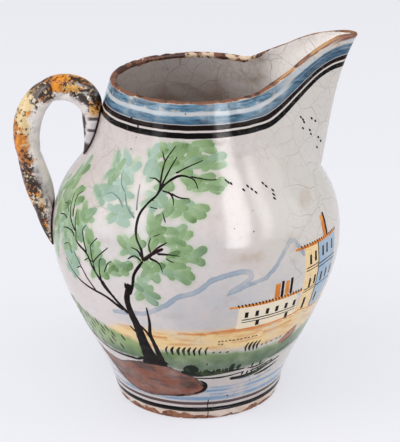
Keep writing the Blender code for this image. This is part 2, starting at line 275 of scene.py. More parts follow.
def glazed_grid():
    """Rows of points from the base's middle up the outside, over the rim and down to the floor's middle.

    With each point comes its drop below the rim in millimetres, negative on the inside.
    """
    count = NOSE_COLUMNS + WALL_COLUMNS + NECK_COLUMNS
    places = np.abs(np.arange(-count, count))
    signs = np.where(np.arange(-count, count) < 0, -1.0, 1.0)
    tops = column_tops(places.astype(float), signs < 0)
    shoulder = tops - RIM_ROUND

    def level(value):
        return np.full(len(places), value)

    def outside(heights):
        return outer_point(column_turn(places, heights) * signs, heights), (tops - heights) / MM

    def inside(heights):
        turns = column_turn(places, heights) * signs
        reach = plan_radius(turns, *lip_section(heights)) * np.cos(turns)
        thick = inner_wall(heights, tops - heights, reach)
        radius = plan_radius(turns, *lip_section(heights, thick)) + wobble(turns, heights)
        return np.stack([radius * np.cos(turns), radius * np.sin(turns), heights], -1), (heights - tops) / MM

    low_shares, high_shares = np.linspace(0, 1, LOW_ROWS, endpoint=False), np.linspace(0, 1, HIGH_ROWS)
    rows = [outside(level(BASE_HEIGHT + (LIP_ROOT_HEIGHT - BASE_HEIGHT) * share)) for share in low_shares]
    rows = [(rows[0][0] * (share, share, 1), level(BASE_DROP)) for share in BASE_RINGS] + rows
    rows += [outside(LIP_ROOT_HEIGHT + (shoulder - LIP_ROOT_HEIGHT) * share) for share in high_shares]
    outer_edge, inner_edge = rows[-1][0], inside(shoulder)[0]
    middle, across = (outer_edge + inner_edge) / 2, (outer_edge - inner_edge) / 2
    crest = RIM_ROUND - rim_chip(np.arctan2(middle[:, 1], middle[:, 0]))
    for arc in np.linspace(0, math.pi, RIM_ROWS + 2)[1:-1]:
        drop = RIM_ROUND / MM * (1 - math.sin(arc)) * math.copysign(1, math.cos(arc))
        rows.append((middle + math.cos(arc) * across + np.outer(crest * math.sin(arc), (0, 0, 1)), level(drop)))
    rows += [inside(LIP_ROOT_HEIGHT + (shoulder - LIP_ROOT_HEIGHT) * share) for share in high_shares[::-1]]
    bottom = FLOOR_HEIGHT + WALL
    rows += [inside(level(bottom + (LIP_ROOT_HEIGHT - bottom) * share))
             for share in np.linspace(1, 0, INNER_ROWS)[1:]]
    ring = rows[-1][0] * (1, 1, 0) + (0, 0, FLOOR_HEIGHT)
    rows += [(ring * (share, share, 1), level(FLOOR_DROP)) for share in FLOOR_RINGS]
    points, drops = zip(*rows)
    return np.array(points), np.array(drops)


def grid_faces(rows, columns, size):
    """Quads between neighbouring rows and columns of a grid with a closed round of columns."""
    return [(r * size + c, r * size + (c + 1) % size, (r + 1) * size + (c + 1) % size, (r + 1) * size + c)
            for r in rows for c in columns]


def closed_faces(row_count, size):
    """Quads of a grid, and a fan from its first and its last row to the two poles after its points."""
    last, pole = (row_count - 1) * size, row_count * size
    fans = [(start + c, start + (c + 1) % size, end)
            for start, end in ((0, pole), (last, pole + 1)) for c in range(size)]
    return grid_faces(range(row_count - 1), range(size), size) + fans


def add_piece(name, node, points, faces, material, fields):
    """Piece over a node of the solids, from some faces of a grid and only the points that they use."""
    used = sorted({index for face in faces for index in face})
    place = {old: new for new, old in enumerate(used)}
    mesh = bpy.data.meshes.new(name)
    mesh.from_pydata(np.asarray(points)[used].tolist(), [], [[place[index] for index in face] for face in faces])
    mesh.validate()
    for field, values in fields.items():
        layer = mesh.attributes.new(field, "FLOAT", "POINT")
        layer.data.foreach_set("value", np.asarray(values, np.float32)[used])
    mesh.shade_smooth()
    mesh.set_sharp_from_angle(angle=SHARP_ANGLE)
    mesh.materials.append(material)
    work = bmesh.new()
    work.from_mesh(mesh)
    bmesh.ops.recalc_face_normals(work, faces=work.faces)
    work.to_mesh(mesh)
    work.free()
    item = bpy.data.objects.new(name, mesh)
    bpy.context.scene.collection.objects.link(item)
    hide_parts(node)
    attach(item, "root")


# Painted washes: places and outlines are in degrees round from the front and millimetres of height
MOUND = [
    (-66, 47), (-56, 43), (-46, 42), (-36, 46), (-20, 49), (-11, 44), (-4, 40), (1.5, 34), (4.5, 28), (3, 23.5),
    (-6, 20.5), (-20, 18.5), (-34, 17), (-46, 19), (-55, 25), (-62, 36),
]
MOUND_SHADE = ((-5, 31), 6.5, 4.5, -10)
BACK_MOUNDS = [
    [(150, 37), (157, 43), (168, 47), (179, 46), (187, 41), (189, 35), (176, 31), (160, 31.5)],
    [(214, 38), (221, 43.5), (231, 46), (241, 44), (247, 38), (240, 33), (226, 31.5)],
]
LEFT_MEADOW = [
    (-106, 57), (-92, 68), (-81, 78), (-70, 82), (-58, 76), (-40, 70), (-26, 64), (-28, 51), (-45, 50),
    (-64, 52), (-86, 51),
]
MEADOW = [
    (-27, 50), (-22, 59), (-5, 62), (12, 60), (30, 58), (52, 60), (74, 66), (90, 63), (110, 55), (94, 50),
    (74, 49), (52, 46), (30, 43), (12, 42), (-4, 43),
]
BACK_MEADOW = [
    (116, 50), (130, 60), (150, 65), (172, 62), (196, 63), (220, 66), (238, 60), (250, 51), (236, 45),
    (205, 43), (170, 42), (140, 45),
]
SAND = [
    (-46, 70), (-38, 76), (-30, 79), (-12, 79.5), (4, 80), (22, 82), (40, 84), (60, 88), (80, 84), (98, 72),
    (82, 65), (62, 64), (40, 62), (20, 62), (0, 63), (-18, 62), (-34, 65),
]
BACK_SAND = [(124, 63), (146, 75), (176, 79), (205, 77), (228, 76), (246, 63), (222, 60), (190, 58), (150, 60)]
LOW_HOUSE = [(16, 79), (16.5, 97), (43.5, 97), (46, 79)]
TALL_HOUSE_FRONT = [(46, 80), (46.2, 128), (54.6, 129.5), (55.2, 78)]
TALL_HOUSE_SIDE = [(55.4, 78.5), (54.6, 129), (70, 126), (69, 98), (66, 78)]
STONE = [(42, 57), (46, 62), (52, 67), (53, 62), (50, 57.5), (45, 55.5)]
HILLS = [
    (-36, 86), (-20, 91), (-7, 106), (5, 117), (17, 121), (21, 113), (31, 120), (40, 136), (46, 130), (46, 84),
    (10, 80), (-30, 80),
]

# Smears of brown: place, half length, half width and tilt
SMEARS = [
    ((55, 155), 7.5, 4, 30), ((20, 131), 9, 3, 0), ((10, 176), 4, 2.4, 0), ((-8, 92), 5, 2.2, 0),
    ((128, 158), 8, 4, -20), ((200, 140), 7, 3, 10),
]

# Broad brush lines with their widths in millimetres
STREAK_WIDTH = 2.0
ORANGE_STREAKS = [
    [(-8, 77.5), (-2, 77), (3, 76.5)], [(9, 78.5), (16, 79.5)], [(8, 77), (20, 77.5), (38, 78.5)],
    [(-24, 73.6), (-14, 73)], [(30, 72.6), (45, 74.6)], [(150, 72), (166, 74)], [(204, 74), (222, 72)],
]
RIDGES = [
    ([(-36, 88), (-21, 91.5), (-13, 99), (-7, 107), (0, 110.5), (5, 118), (11, 121), (17, 122.5), (20.5, 121),
      (21, 118), (18, 114), (13, 109.5)], 3.4),
    ([(12, 108), (20, 113), (27, 115.5), (31, 121), (35.5, 130), (39, 136), (41.4, 134.4), (43.6, 129),
      (45.4, 124)], 2.8),
    ([(79, 111), (86, 105), (94, 99), (104, 96), (113, 92), (121, 92), (134, 98)], 2.8),
    ([(134, 98), (147, 110), (157, 114), (168, 106), (184, 101), (198, 107), (210, 116), (219, 118), (231, 108),
      (246, 94)], 3),
]
WATER = [
    ([(7, 28), (18, 27.2), (32, 28), (48, 31)], 2.2), ([(8, 21.6), (22, 21.2), (40, 22)], 1.8),
    ([(24, 31.8), (38, 33), (52, 36.5)], 1.6), ([(112, 29), (130, 27.6), (148, 28)], 2),
    ([(192, 28), (204, 27.4), (214, 28)], 2),
]

# Leaf clusters: place, reach along and up, number of dabs, and tone from 0 grass green to 1 teal; the teal of the
# upper left clusters is partly a painted reflection of a window
LEAVES = [
    (-16, 194, 5, 6, 6, 0.05), (-1, 194, 10, 3, 8, 0), (8, 186, 9, 3, 7, 0.15), (-8, 185, 8, 5, 8, 0.1),
    (-24, 184, 4, 7, 5, 0.75), (4, 174, 10, 4, 9, 0.1), (-17, 176, 5, 5, 5, 0.2), (-6, 160, 12, 4, 10, 0.1),
    (-19, 164, 5, 4, 5, 0.6), (-48, 176, 4, 8, 6, 0.35), (-39, 178, 6, 6, 6, 0.95), (-47, 161, 7, 4, 6, 0.8),
    (-38, 165, 6, 5, 6, 1), (-35, 153, 7, 4, 6, 0.85), (-17, 146, 4, 7, 6, 0.15), (-27, 137, 5, 5, 6, 0.1),
    (-8, 145, 6, 4, 6, 0.05), (-4, 135, 8, 4, 8, 0), (-18, 123, 5, 5, 6, 0), (-7, 124, 7, 4, 8, 0.1),
    (-31, 121, 6, 4, 6, 0.15), (-20, 108, 5, 6, 7, 0.1), (-74, 160, 6, 10, 8, 0.15), (-66, 150, 8, 8, 9, 0.1),
    (-53, 143, 7, 8, 9, 0.15), (-72, 137, 8, 8, 9, 0.2), (-60, 130, 8, 8, 10, 0.15), (-45, 130, 6, 7, 7, 0.15),
    (-74, 119, 7, 7, 8, 0.25), (-58, 113, 6, 6, 8, 0.6), (-41, 117, 5, 5, 6, 0.15), (-84, 148, 6, 9, 6, 0.2),
]

# Leaf clusters of a tree on the back, counted from its stem: degrees along, height and tone
BACK_LEAVES = [
    (-18, 118, 0.1), (-13, 130, 0.3), (-20, 140, 0.6), (-8, 150, 0.1), (-12, 164, 0.2), (3, 160, 0),
    (8, 174, 0.3), (14, 150, 0.1), (20, 138, 0.1), (15, 124, 0.2), (2, 136, 0.4), (-2, 178, 0.1),
]
BACK_TREES = [(166, 1.0), (228, 0.86)]
TREE_BASE = 45.0
BACK_CLUSTER = (9, 8, 8)
LEAVES += [(phi + along * size, TREE_BASE + (height - TREE_BASE) * size, *BACK_CLUSTER, tone)
           for phi, size in BACK_TREES for along, height, tone in BACK_LEAVES]

# Dabs of a leaf cluster, with lengths in millimetres and scatters as standard deviations
DAB_BLUNTNESS = 2.2
DAB_HALF_WIDTH = (2.1, 3.3)
DAB_SLENDERNESS = (1.7, 2.5)
DAB_SPREAD = 17.0
DAB_TURN = 0.382
DAB_TURN_SCATTER = 0.07
DAB_START = 0.3
SOFT_DABS = 0.40
LEAF_TOP = 198.5
LEAF_REACH = 1.08
LEAF_CROWDING = 1.6
TINT_SCATTER = 0.2
LEAST_STRENGTH = 0.30
STRENGTH_GAIN = 0.42
STRENGTH_SCATTER = 0.10


def leaf_dabs():
    """Brush marks of the leaves: place, half length, half width, tilt, tint from green to teal, partly a painted
    reflection, and strength.
    """
    marks = []
    for phi, height, along, up, count, tint in LEAVES:
        radius = float(body_radius(height * MM)) / MM
        count = round(count * LEAF_CROWDING)
        for i in range(count):
            turn = 2 * math.pi * (i * DAB_TURN + DAB_TURN_SCATTER * rng.standard_normal())
            share = math.sqrt((i + DAB_START) / count)
            lean = math.degrees(math.atan2(up, along)) * math.copysign(1, math.sin(turn) * math.cos(turn))
            tilt = lean + DAB_SPREAD * rng.standard_normal()
            width = rng.uniform(*DAB_HALF_WIDTH)
            length = width * rng.uniform(*DAB_SLENDERNESS)
            top = LEAF_TOP - length * abs(math.sin(math.radians(tilt))) - width / 2
            reach = LEAF_REACH * share
            place = (phi + math.degrees(along * reach * math.cos(turn) / radius),
                     min(height + up * reach * math.sin(turn), top))
            shade = float(np.clip(tint + TINT_SCATTER * rng.standard_normal(), 0, 1))
            strength = LEAST_STRENGTH + STRENGTH_GAIN * share + STRENGTH_SCATTER * float(rng.standard_normal())
            marks.append((place, length, width, tilt, shade, strength))
    return sorted(marks, key=lambda mark: mark[-1])


LEAF_DABS = leaf_dabs()


def paint_place(points):
    """Direction from the jug's front in degrees, growing to the right, and height in millimetres."""
    return np.degrees(np.arctan2(points[:, 0], -points[:, 1])), points[:, 2] / MM


def unrolled(points, centre):
    """Distances in millimetres from a place on the wall, along it and up it."""
    phi, height = points
    radius = float(body_radius(centre[1] * MM)) / MM
    along = np.radians((phi - centre[0] + 180) % 360 - 180) * radius
    return along, (height - centre[1]) * float(surface_stretch(centre[1] * MM))


def dab(points, place, length, width, tilt):
    """Depth inside a blunt oval brush mark, in millimetres."""
    along, up = unrolled(points, place)
    turn = math.radians(tilt)
    a = np.abs(along * math.cos(turn) + up * math.sin(turn)) / length
    b = np.abs(up * math.cos(turn) - along * math.sin(turn)) / width
    return (1 - (a ** DAB_BLUNTNESS + b ** DAB_BLUNTNESS) ** (1 / DAB_BLUNTNESS)) * min(length, width)


def line_distance(x, y, u, v):
    """Distance from points to a line of straight pieces."""
    near = np.full(len(x), np.inf)
    for i in range(len(u) - 1):
        ex, ey = u[i + 1] - u[i], v[i + 1] - v[i]
        share = np.clip(((x - u[i]) * ex + (y - v[i]) * ey) / (ex * ex + ey * ey), 0, 1)
        near = np.minimum(near, np.hypot(x - u[i] - ex * share, y - v[i] - ey * share))
    return near


def trail(points, line, width):
    """Depth inside a broad brush line, in millimetres."""
    centre = np.mean(line, axis=0)
    return width / 2 - line_distance(*unrolled(points, centre), *unrolled(np.transpose(line), centre))


def polygon(points, outline):
    """Depth inside a closed outline, in millimetres."""
    centre = np.mean(outline, axis=0)
    x, y = unrolled(points, centre)
    u, v = unrolled(np.transpose([*outline, outline[0]]), centre)
    inside = np.zeros(len(x), bool)
    for i in range(len(outline)):
        if v[i] != v[i + 1]:
            crossing = u[i] + (u[i + 1] - u[i]) * (y - v[i]) / (v[i + 1] - v[i])
            inside ^= ((v[i] > y) != (v[i + 1] > y)) & (x < crossing)
    near = line_distance(x, y, u, v)
    return np.where(inside, near, -near)


def smooth_line(points, per_piece=8):
    """Soft curve through points, as a brush would draw it."""
    line = np.array(points, float)
    if len(line) < 3:
        return line[0] + (line[-1] - line[0]) * np.linspace(0, 1, per_piece)[:, None]
    ends = np.vstack((2 * line[0] - line[1], line, 2 * line[-1] - line[-2]))
    t = np.linspace(0, 1, per_piece, endpoint=False)[:, None]
    pieces = [0.5 * (2 * b + (c - a) * t + (2 * a - 5 * b + 4 * c - d) * t ** 2 + (3 * b - a - 3 * c + d) * t ** 3)
              for a, b, c, d in zip(ends, ends[1:], ends[2:], ends[3:])]
    return np.vstack(pieces + [line[-1:]])


def deepest(depths):
    """Depth inside the nearest of some forms."""
    return np.maximum.reduce(list(depths))


def paint_fields(points):
    """Depth inside each painted wash at each point of the glazed wall, in millimetres."""
    place = paint_place(points)

    def soft(*outlines):
        return deepest(polygon(place, smooth_line(outline + outline[:1], 4)[:-1]) for outline in outlines)

    return {
        "leaf": deepest(dab(place, *mark[:4]) for mark in LEAF_DABS),
        "streak": deepest(trail(place, line, STREAK_WIDTH) for line in ORANGE_STREAKS),
        "ridge": deepest(trail(place, *ridge) for ridge in RIDGES),
        "water": deepest(trail(place, *ripple) for ripple in WATER),
        "tan": deepest(dab(place, *smear) for smear in SMEARS),
        "umber": dab(place, *MOUND_SHADE),
        "ochre": polygon(place, TALL_HOUSE_FRONT),
        "slate": polygon(place, TALL_HOUSE_SIDE),
        "cream": polygon(place, LOW_HOUSE),
        "hills": polygon(place, HILLS),
        "stone": polygon(place, STONE),
        "mound": soft(MOUND, *BACK_MOUNDS),
        "sand": soft(SAND, BACK_SAND),
        "meadow": soft(MEADOW, LEFT_MEADOW, BACK_MEADOW),
    }


# Colours and gloss
GLOSS = 0.26
LINE_GLOSS = 0.11
INK_GLOSS = GLOSS / 3
HANDLE_GLOSS = 0.45


def srgb(red, green, blue):
    """Colour as seen on screen, from 0 to 255, to the linear value that a shader takes."""
    return tuple(((c / 255 + 0.055) / 1.055) ** 2.4 if c > 10 else c / 255 / 12.92 for c in (red, green, blue))


WHITE = srgb(215, 207, 206)
WARM_WHITE = srgb(200, 190, 187)
COOL_WHITE = srgb(200, 199, 199)
GLAZE_SHADE = srgb(192, 182, 178)
# Painted light: near-white glaze inside the lip, for the light that falls into it
LIP_PAINTED_LIGHT = srgb(252, 246, 243)
LIP_GREY = srgb(208, 205, 198)
# Painted shade: darker glaze deep inside the jug
DEEP_SHADE = srgb(176, 164, 158)
LEAF_PALE = srgb(164, 186, 150)
LEAF_GREEN = srgb(132, 160, 114)
LEAF_DEEP = srgb(94, 126, 78)
# Teal of the leaves: blue-green paint, and partly a painted reflection of a window
PALE_TEAL_WITH_SHEEN = srgb(174, 196, 184)
LEAF_TEAL_WITH_SHEEN = srgb(150, 176, 162)
HILL_BLUE = srgb(146, 164, 180)
HILL_DEEP = srgb(116, 140, 164)
HILL_FILL = srgb(190, 192, 197)
SAND_COLOUR = srgb(236, 204, 144)
SAND_DEEP = srgb(218, 166, 106)
STREAK_COLOUR = srgb(208, 124, 54)
OCHRE_WALL = srgb(238, 208, 152)
CREAM_WALL = srgb(238, 224, 198)
SLATE_WALL = srgb(140, 172, 198)
MEADOW_COLOUR = srgb(62, 98, 60)
MEADOW_PALE = srgb(130, 156, 94)
MOUND_COLOUR = srgb(126, 64, 36)
MOUND_PALE = srgb(174, 110, 78)
MOUND_DARK = srgb(44, 20, 14)
STONE_COLOUR = srgb(160, 90, 68)
BAND_BLUE = srgb(88, 132, 158)
BAND_DEEP = srgb(24, 64, 92)
BAND_PALE = srgb(172, 188, 198)
LINE_BLACK = srgb(6, 4, 5)
LINE_BROWN = srgb(22, 9, 9)
LINE_PLUM = srgb(72, 44, 46)
WATER_BLUE = srgb(112, 150, 186)
WATER_PALE = srgb(172, 192, 210)
RIM_BROWN = srgb(126, 82, 62)
RIM_OCHRE = srgb(206, 158, 104)
RIM_CREAM = srgb(226, 200, 172)
CLAY_DARK = srgb(70, 42, 38)
CRAZE = srgb(128, 114, 108)
STAIN = srgb(150, 122, 100)
TAN = srgb(176, 150, 128)
HANDLE_BROWN = srgb(40, 20, 15)
HANDLE_WHITE = srgb(240, 233, 228)
HANDLE_GREY = srgb(214, 206, 206)
HANDLE_SAND = srgb(226, 200, 150)
HANDLE_CREAM = srgb(226, 214, 196)
OCHRE = srgb(238, 150, 26)
OCHRE_DEEP = srgb(182, 112, 48)
OCHRE_PALE = srgb(226, 178, 92)
HANDLE_RUST = srgb(140, 82, 44)
TAIL_WHITE = srgb(226, 220, 218)
TAIL_GREY = srgb(200, 196, 202)
FOOT_CREAM = srgb(226, 210, 198)
FOOT_TAN = srgb(206, 184, 166)
FOOT_CLAY = srgb(156, 106, 80)
FOOT_CLAY_DEEP = srgb(112, 70, 52)

# Scales of the streaks that a brush leaves, along X, Y and Z
SAND_STROKES = (60.0, 60.0, 260.0)
MOUND_STROKES = (60.0, 60.0, 170.0)
BAND_STROKES = (90.0, 90.0, 520.0)
HAZE_STROKES = (1.0, 1.0, 5.0)

# Painted bands and lines, in millimetres below the rim
UPPER_BAND = (1.2, 6.2)
LOWER_BAND_START = (7.8, 9.2)
LOWER_BAND_END = (14.2, 13.4)
LIP_BAND = (6.0, 9.0)
HAZE_BAND = (1.0, 14.0)
FLECK_BAND = (0.5, 6.0)
FIRST_LINE = (14.1, 17.3)
SECOND_LINE = (18.6, 22.2)
BROWN_PART = (13.6, 17.0)
BARE_RIM = (1.5, 1.0)

# Lines above the foot and water, in millimetres of height
LOWEST_LINE = (10.4, 10.1)
PLUM_LINE = (12.3, 14.7)
POOL = (15.6, 27.0)
LOW_RIPPLE = (16.3, 19.3)
HIGH_RIPPLE = (23.6, 25.8)
LOW_GREEN = (53.0, 38.0)

# Distances of the lip's painting from the jug's axis, in millimetres
LIP_START = (52.0, 66.0)
NECK_END = (66.0, 50.0)
FAR_END = (52.0, 38.0)
CREASE = (22.0, 42.0)
BEAK = (84.0, 97.0)


class Wire:
    """Value in a material's nodes that takes plain arithmetic; a | b is the larger of two."""

    def __init__(self, nodes, socket):
        self.nodes, self.socket = nodes, socket

    def __add__(self, other):
        return self.nodes.math("ADD", self, other)

    def __sub__(self, other):
        return self.nodes.math("SUBTRACT", self, other)

    def __mul__(self, other):
        return self.nodes.math("MULTIPLY", self, other)

    def __or__(self, other):
        return self.nodes.math("MAXIMUM", self, other)

    def __abs__(self):
        return self.nodes.math("ABSOLUTE", self)


class Nodes:
    """Short calls for building one material's nodes. Lengths in its fields are in millimetres."""

    def __init__(self, name):
        self.material = bpy.data.materials.new(name)
        self.material.use_nodes = True
        self.tree = self.material.node_tree
        self.shader = self.tree.nodes["Principled BSDF"]
        self.place = self.node("TexCoord", "Object")
        self.colour = None

    def put(self, socket, value):
        if isinstance(value, Wire):
            self.tree.links.new(value.socket, socket)
        else:
            socket.default_value = (*value, 1.0) if socket.type == "RGBA" else value

    def node(self, kind, output, inputs=(), **settings):
        """Output of a new node, from its settings and its inputs by name or number."""
        node = self.tree.nodes.new("ShaderNode" + kind)
        for key, value in settings.items():
            setattr(node, key, value)
        for key, value in dict(inputs).items():
            self.put(node.inputs[key], value)
        return Wire(self, node.outputs[output])

    def field(self, name):
        return self.node("Attribute", "Fac", attribute_name=name)

    def math(self, operation, *values):
        return self.node("Math", 0, enumerate(values), operation=operation)

    def axis(self, name):
        return self.node("SeparateXYZ", name, {0: self.place})

    def height(self):
        return self.axis("Z") * (1 / MM)

    def noise(self, scale, detail=3.0, rough=0.55, warp=0.0, stretch=None):
        place = self.place
        if stretch:
            place = self.node("VectorMath", 0, {0: place, 1: stretch}, operation="MULTIPLY")
        return self.node("TexNoise", "Fac", {"Scale": scale, "Detail": detail, "Roughness": rough,
                                             "Distortion": warp, "Vector": place})

    def wander(self, size, *noise):
        """Noise spread evenly about zero."""
        return (self.noise(*noise) - 0.5) * size

    def step(self, value, low, high, top=1.0):
        return self.node("MapRange", "Result", {"Value": value, "From Min": low, "From Max": high, "To Max": top},
                         interpolation_type="SMOOTHSTEP")

    def patches(self, low, high, *noise, top=1.0, **shape):
        """Soft patches where a noise passes a threshold."""
        return self.step(self.noise(*noise, **shape), low, high, top)

    def band(self, value, low, high, soft, top=1.0):
        """One between two values, with soft ends."""
        return self.step(value, low - soft, low + soft) * self.step(value, high + soft, high - soft, top)

    def cracks(self, scale, width, warp_scale, warp):
        """Thin lines of a crazed glaze."""
        drift = self.node("TexNoise", "Color", {"Scale": warp_scale, "Vector": self.place})
        moved = self.node("VectorMath", 0, {0: drift, 1: (warp,) * 3, 2: self.place}, operation="MULTIPLY_ADD")
        cells = self.node("TexVoronoi", "Distance", {"Scale": scale, "Vector": moved}, feature="DISTANCE_TO_EDGE")
        return self.step(cells, width, 0.0)

    def specks(self, scale, size):
        cells = self.node("TexVoronoi", "Distance", {"Scale": scale, "Vector": self.place})
        return self.step(cells, size, size / 2)

    def mix(self, share, a, b):
        return self.node("Mix", 2, {0: share, 6: a, 7: b}, data_type="RGBA")

    def coats(self, base, *coats):
        """Colour after some coats, each a share and a pigment, laid over a base."""
        for share, pigment in coats:
            base = self.mix(share, base, pigment)
        return base

    def lay(self, *coats):
        self.colour = self.coats(self.colour, *coats)

    def bump(self, height, strength, distance):
        bump = self.node("Bump", "Normal", {"Strength": strength, "Distance": distance, "Height": height})
        self.put(self.shader.inputs["Normal"], bump)

    def finish(self, roughness, gloss=GLOSS):
        self.put(self.shader.inputs["Base Color"], self.colour)
        self.put(self.shader.inputs["Roughness"], roughness)
        self.put(self.shader.inputs["Specular IOR Level"], gloss)
        return self.material


def paint_ground(n):
    """White tin glaze with its slow drift of tint, greyer towards the lip."""
    n.colour = n.coats(
        WHITE, (n.patches(0.35, 0.65, 9.0), WARM_WHITE),
        (n.patches(0.5, 0.72, 14.0, 2.0, top=0.6, warp=0.6), COOL_WHITE),
        (n.patches(0.5, 0.75, 330.0, top=0.35), GLAZE_SHADE),
        (n.patches(0.5, 0.75, 60.0, 4.0, top=0.45), GLAZE_SHADE),
        (n.step(n.reach, 5.0, 70.0, 0.65), LIP_GREY))


def paint_landscape(n):
    """Washes of the landscape, from the smears at the back to the mound in front."""
    sand = n.mix(n.patches(0.46, 0.66, 1.0, 4.0, stretch=SAND_STROKES), SAND_COLOUR, SAND_DEEP)
    ridge_edge = n.band(n.field("ridge") + n.edge * 0.5, -0.2, 0.7, 0.4)
    low_green = n.step(n.height() - n.slow * 22.0, *LOW_GREEN)
    mound = n.coats(
        MOUND_COLOUR, (n.step(n.field("mound"), 2.6, 0.2), MOUND_DARK),
        (n.patches(0.5, 0.66, 1.0, 4.0, top=0.75, stretch=MOUND_STROKES), MOUND_DARK),
        (n.patches(0.58, 0.74, 190.0, 4.0, top=0.5), MOUND_PALE),
        (n.step(n.field("umber"), -1.5, 2.0, 0.75), MOUND_DARK))
    # Field, pigment, softness of the edge, strength, patchiness and raggedness of the edge
    for field, pigment, soft, strength, patchy, ragged in (
            ("tan", TAN, 2.6, 0.5, 0.35, 3.5),
            ("hills", HILL_FILL, 6.0, 0.6, 0.15, 4.0),
            ("sand", sand, 3.2, 0.95, 0.45, 2.0),
            ("streak", STREAK_COLOUR, 1.0, 0.85, 0.5, 1.0),
            ("ridge", n.mix(ridge_edge, HILL_BLUE, HILL_DEEP), 0.7, 0.85, 0.42, 1.0),
            ("meadow", n.mix(low_green, MEADOW_PALE, MEADOW_COLOUR), 2.8, 0.95, 0.9, 3.0),
            ("ochre", OCHRE_WALL, 0.8, 0.95, 0.9, 1.0),
            ("cream", CREAM_WALL, 0.8, 0.9, 0.9, 1.0),
            ("slate", SLATE_WALL, 0.7, 0.95, 0.7, 1.0),
            ("stone", STONE_COLOUR, 0.5, 0.95, 0.9, 1.0),
            ("leaf", LEAF_PALE, 2.0, 0.9, 0.7, 0.8),
            ("mound", mound, 0.5, 0.98, 0.9, 1.0)):
        amount = n.step(n.field(field) + n.edge * ragged, -soft, soft, strength)
        n.lay((amount * n.step(n.slow, 0.5 - patchy, 0.62) * n.outside, pigment))


def paint_rim_bands(n):
    """Two blue bands and two dark lines, by their drop below the rim."""
    level = n.drop + n.uneven
    loose = level + n.wander(2.6, 46.0)
    upper = n.band(loose, *UPPER_BAND, 0.7) * n.step(n.reach, *NECK_END)
    lower = n.step(loose, *LOWER_BAND_START) * n.step(level, *LOWER_BAND_END)
    on_lip = n.band(loose, *LIP_BAND, 0.8) * n.step(n.reach, *LIP_START)
    bands = upper | lower | on_lip
    brush = n.noise(1.0, 4.0, stretch=BAND_STROKES)
    blue = n.coats(
        BAND_BLUE, (n.step(brush, 0.42, 0.68), BAND_DEEP),
        (n.patches(0.48, 0.68, 40.0, top=0.7), BAND_PALE),
        (n.patches(0.55, 0.7, 58.0, 4.0, top=0.7, warp=0.5), BAND_DEEP),
        (n.step(level, 9.5, 13.5, 0.6), BAND_DEEP), (n.step(n.reach, 40.0, 80.0, 0.55), BAND_DEEP))
    haze = n.patches(0.36, 0.62, 30.0, 4.0, stretch=HAZE_STROKES) * n.band(level, *HAZE_BAND, 0.8, 0.75)
    flecks = n.patches(0.55, 0.7, 170.0, 4.0) * n.band(level, *FLECK_BAND, 1.0, 0.6)
    n.lines = n.band(level, *FIRST_LINE, 0.18) | n.band(level, *SECOND_LINE, 0.2)
    line = n.mix(n.band(level, *BROWN_PART, 0.3), LINE_BLACK, LINE_BROWN)
    n.lay((bands * (n.step(brush, 0.2, 0.5) * 0.22 + 0.76), blue),
          (haze * n.step(bands, 1.0, 0.4), BAND_PALE), (flecks, RIM_CREAM), (n.lines, line))


def paint_water(n):
    """Water beside the mound and the lines above the foot, by their height."""
    level = n.height() + n.uneven * 0.7
    free = n.outside * n.step(n.field("mound"), 0.0, -1.0)
    pool = n.band(level, *POOL, 1.5, 0.45) * free * n.step(n.slow, 0.3, 0.6)
    ripples = n.band(level, *LOW_RIPPLE, 0.5, 0.85) | n.band(level, *HIGH_RIPPLE, 0.5, 0.85)
    ripples = ripples | n.step(n.field("water") + n.edge * 0.5, -0.4, 0.6, 0.8)
    lowest = n.step(level, *LOWEST_LINE) * n.outside
    n.lay((pool, WATER_PALE), (ripples * free * n.step(n.slow, 0.2, 0.55), WATER_BLUE),
          (n.band(level, *PLUM_LINE, 0.2, 0.95) * n.outside, LINE_PLUM), (lowest, LINE_BLACK))
    n.lines = n.lines | lowest


def paint_inside(n):
    """Painted light that whitens the inside of the lip, painted shade deeper inside, stains inside, the crease where
    the neck ends, and grime over all.
    """
    crease = n.band(n.reach, *CREASE, 8.0) * n.step(n.drop, -34.0, -8.0) * n.inner
    # Painted light: the inside of the lip is whitened where light falls into it
    n.lay((n.inner * n.step(n.reach, 40.0, 58.0), LIP_PAINTED_LIGHT),
          # Painted shade: darker deeper down inside and further from the lip
          (n.inner * n.step(n.drop + n.reach * 0.5, 5.0, -50.0, 0.85), DEEP_SHADE),
          (n.inner * n.patches(0.52, 0.75, 22.0, 4.0, top=0.75, warp=0.8), STAIN),
          (crease * n.patches(0.42, 0.66, 70.0, 5.0, top=0.8, warp=0.6), STAIN),
          (n.patches(0.6, 0.8, 34.0, 5.0, 0.6, top=0.4, warp=0.4), STAIN))


def paint_worn_rim(n):
    """Bare clay along the rim, paler on the far side, and at the tip of the lip."""
    ragged = n.wander(3.0, 120.0, 4.0)
    far = n.step(n.axis("Y"), -0.01, 0.02) * n.step(n.reach, *FAR_END)
    worn = abs(n.drop + far * 1.5) + ragged - far * 0.9
    crest = n.step(abs(n.drop), 0.7, 0.3) * n.step(n.reach, 48.0, 58.0)
    pale = n.step(n.noise(120.0, 4.0) + far * 0.07, 0.58, 0.64)
    dark = n.step(n.noise(150.0, 4.0) + far * 0.10, 0.56, 0.62)
    clay = n.coats(
        RIM_BROWN, (pale, n.mix(far, RIM_OCHRE, RIM_CREAM)), (dark, CLAY_DARK),
        (n.band(worn, 1.0, 1.6, 0.2) * n.patches(0.4, 0.55, 52.0), RIM_OCHRE),
        (crest * n.patches(0.36, 0.5, 48.0, top=0.8), RIM_OCHRE))
    beak = n.step(n.reach, *BEAK) * n.step(abs(n.drop) + ragged, 4.0, 2.6)
    n.bare = n.step(worn, *BARE_RIM)
    n.lay((n.bare, clay), (beak * n.step(n.drop, -1.5, 0.5), RIM_BROWN))


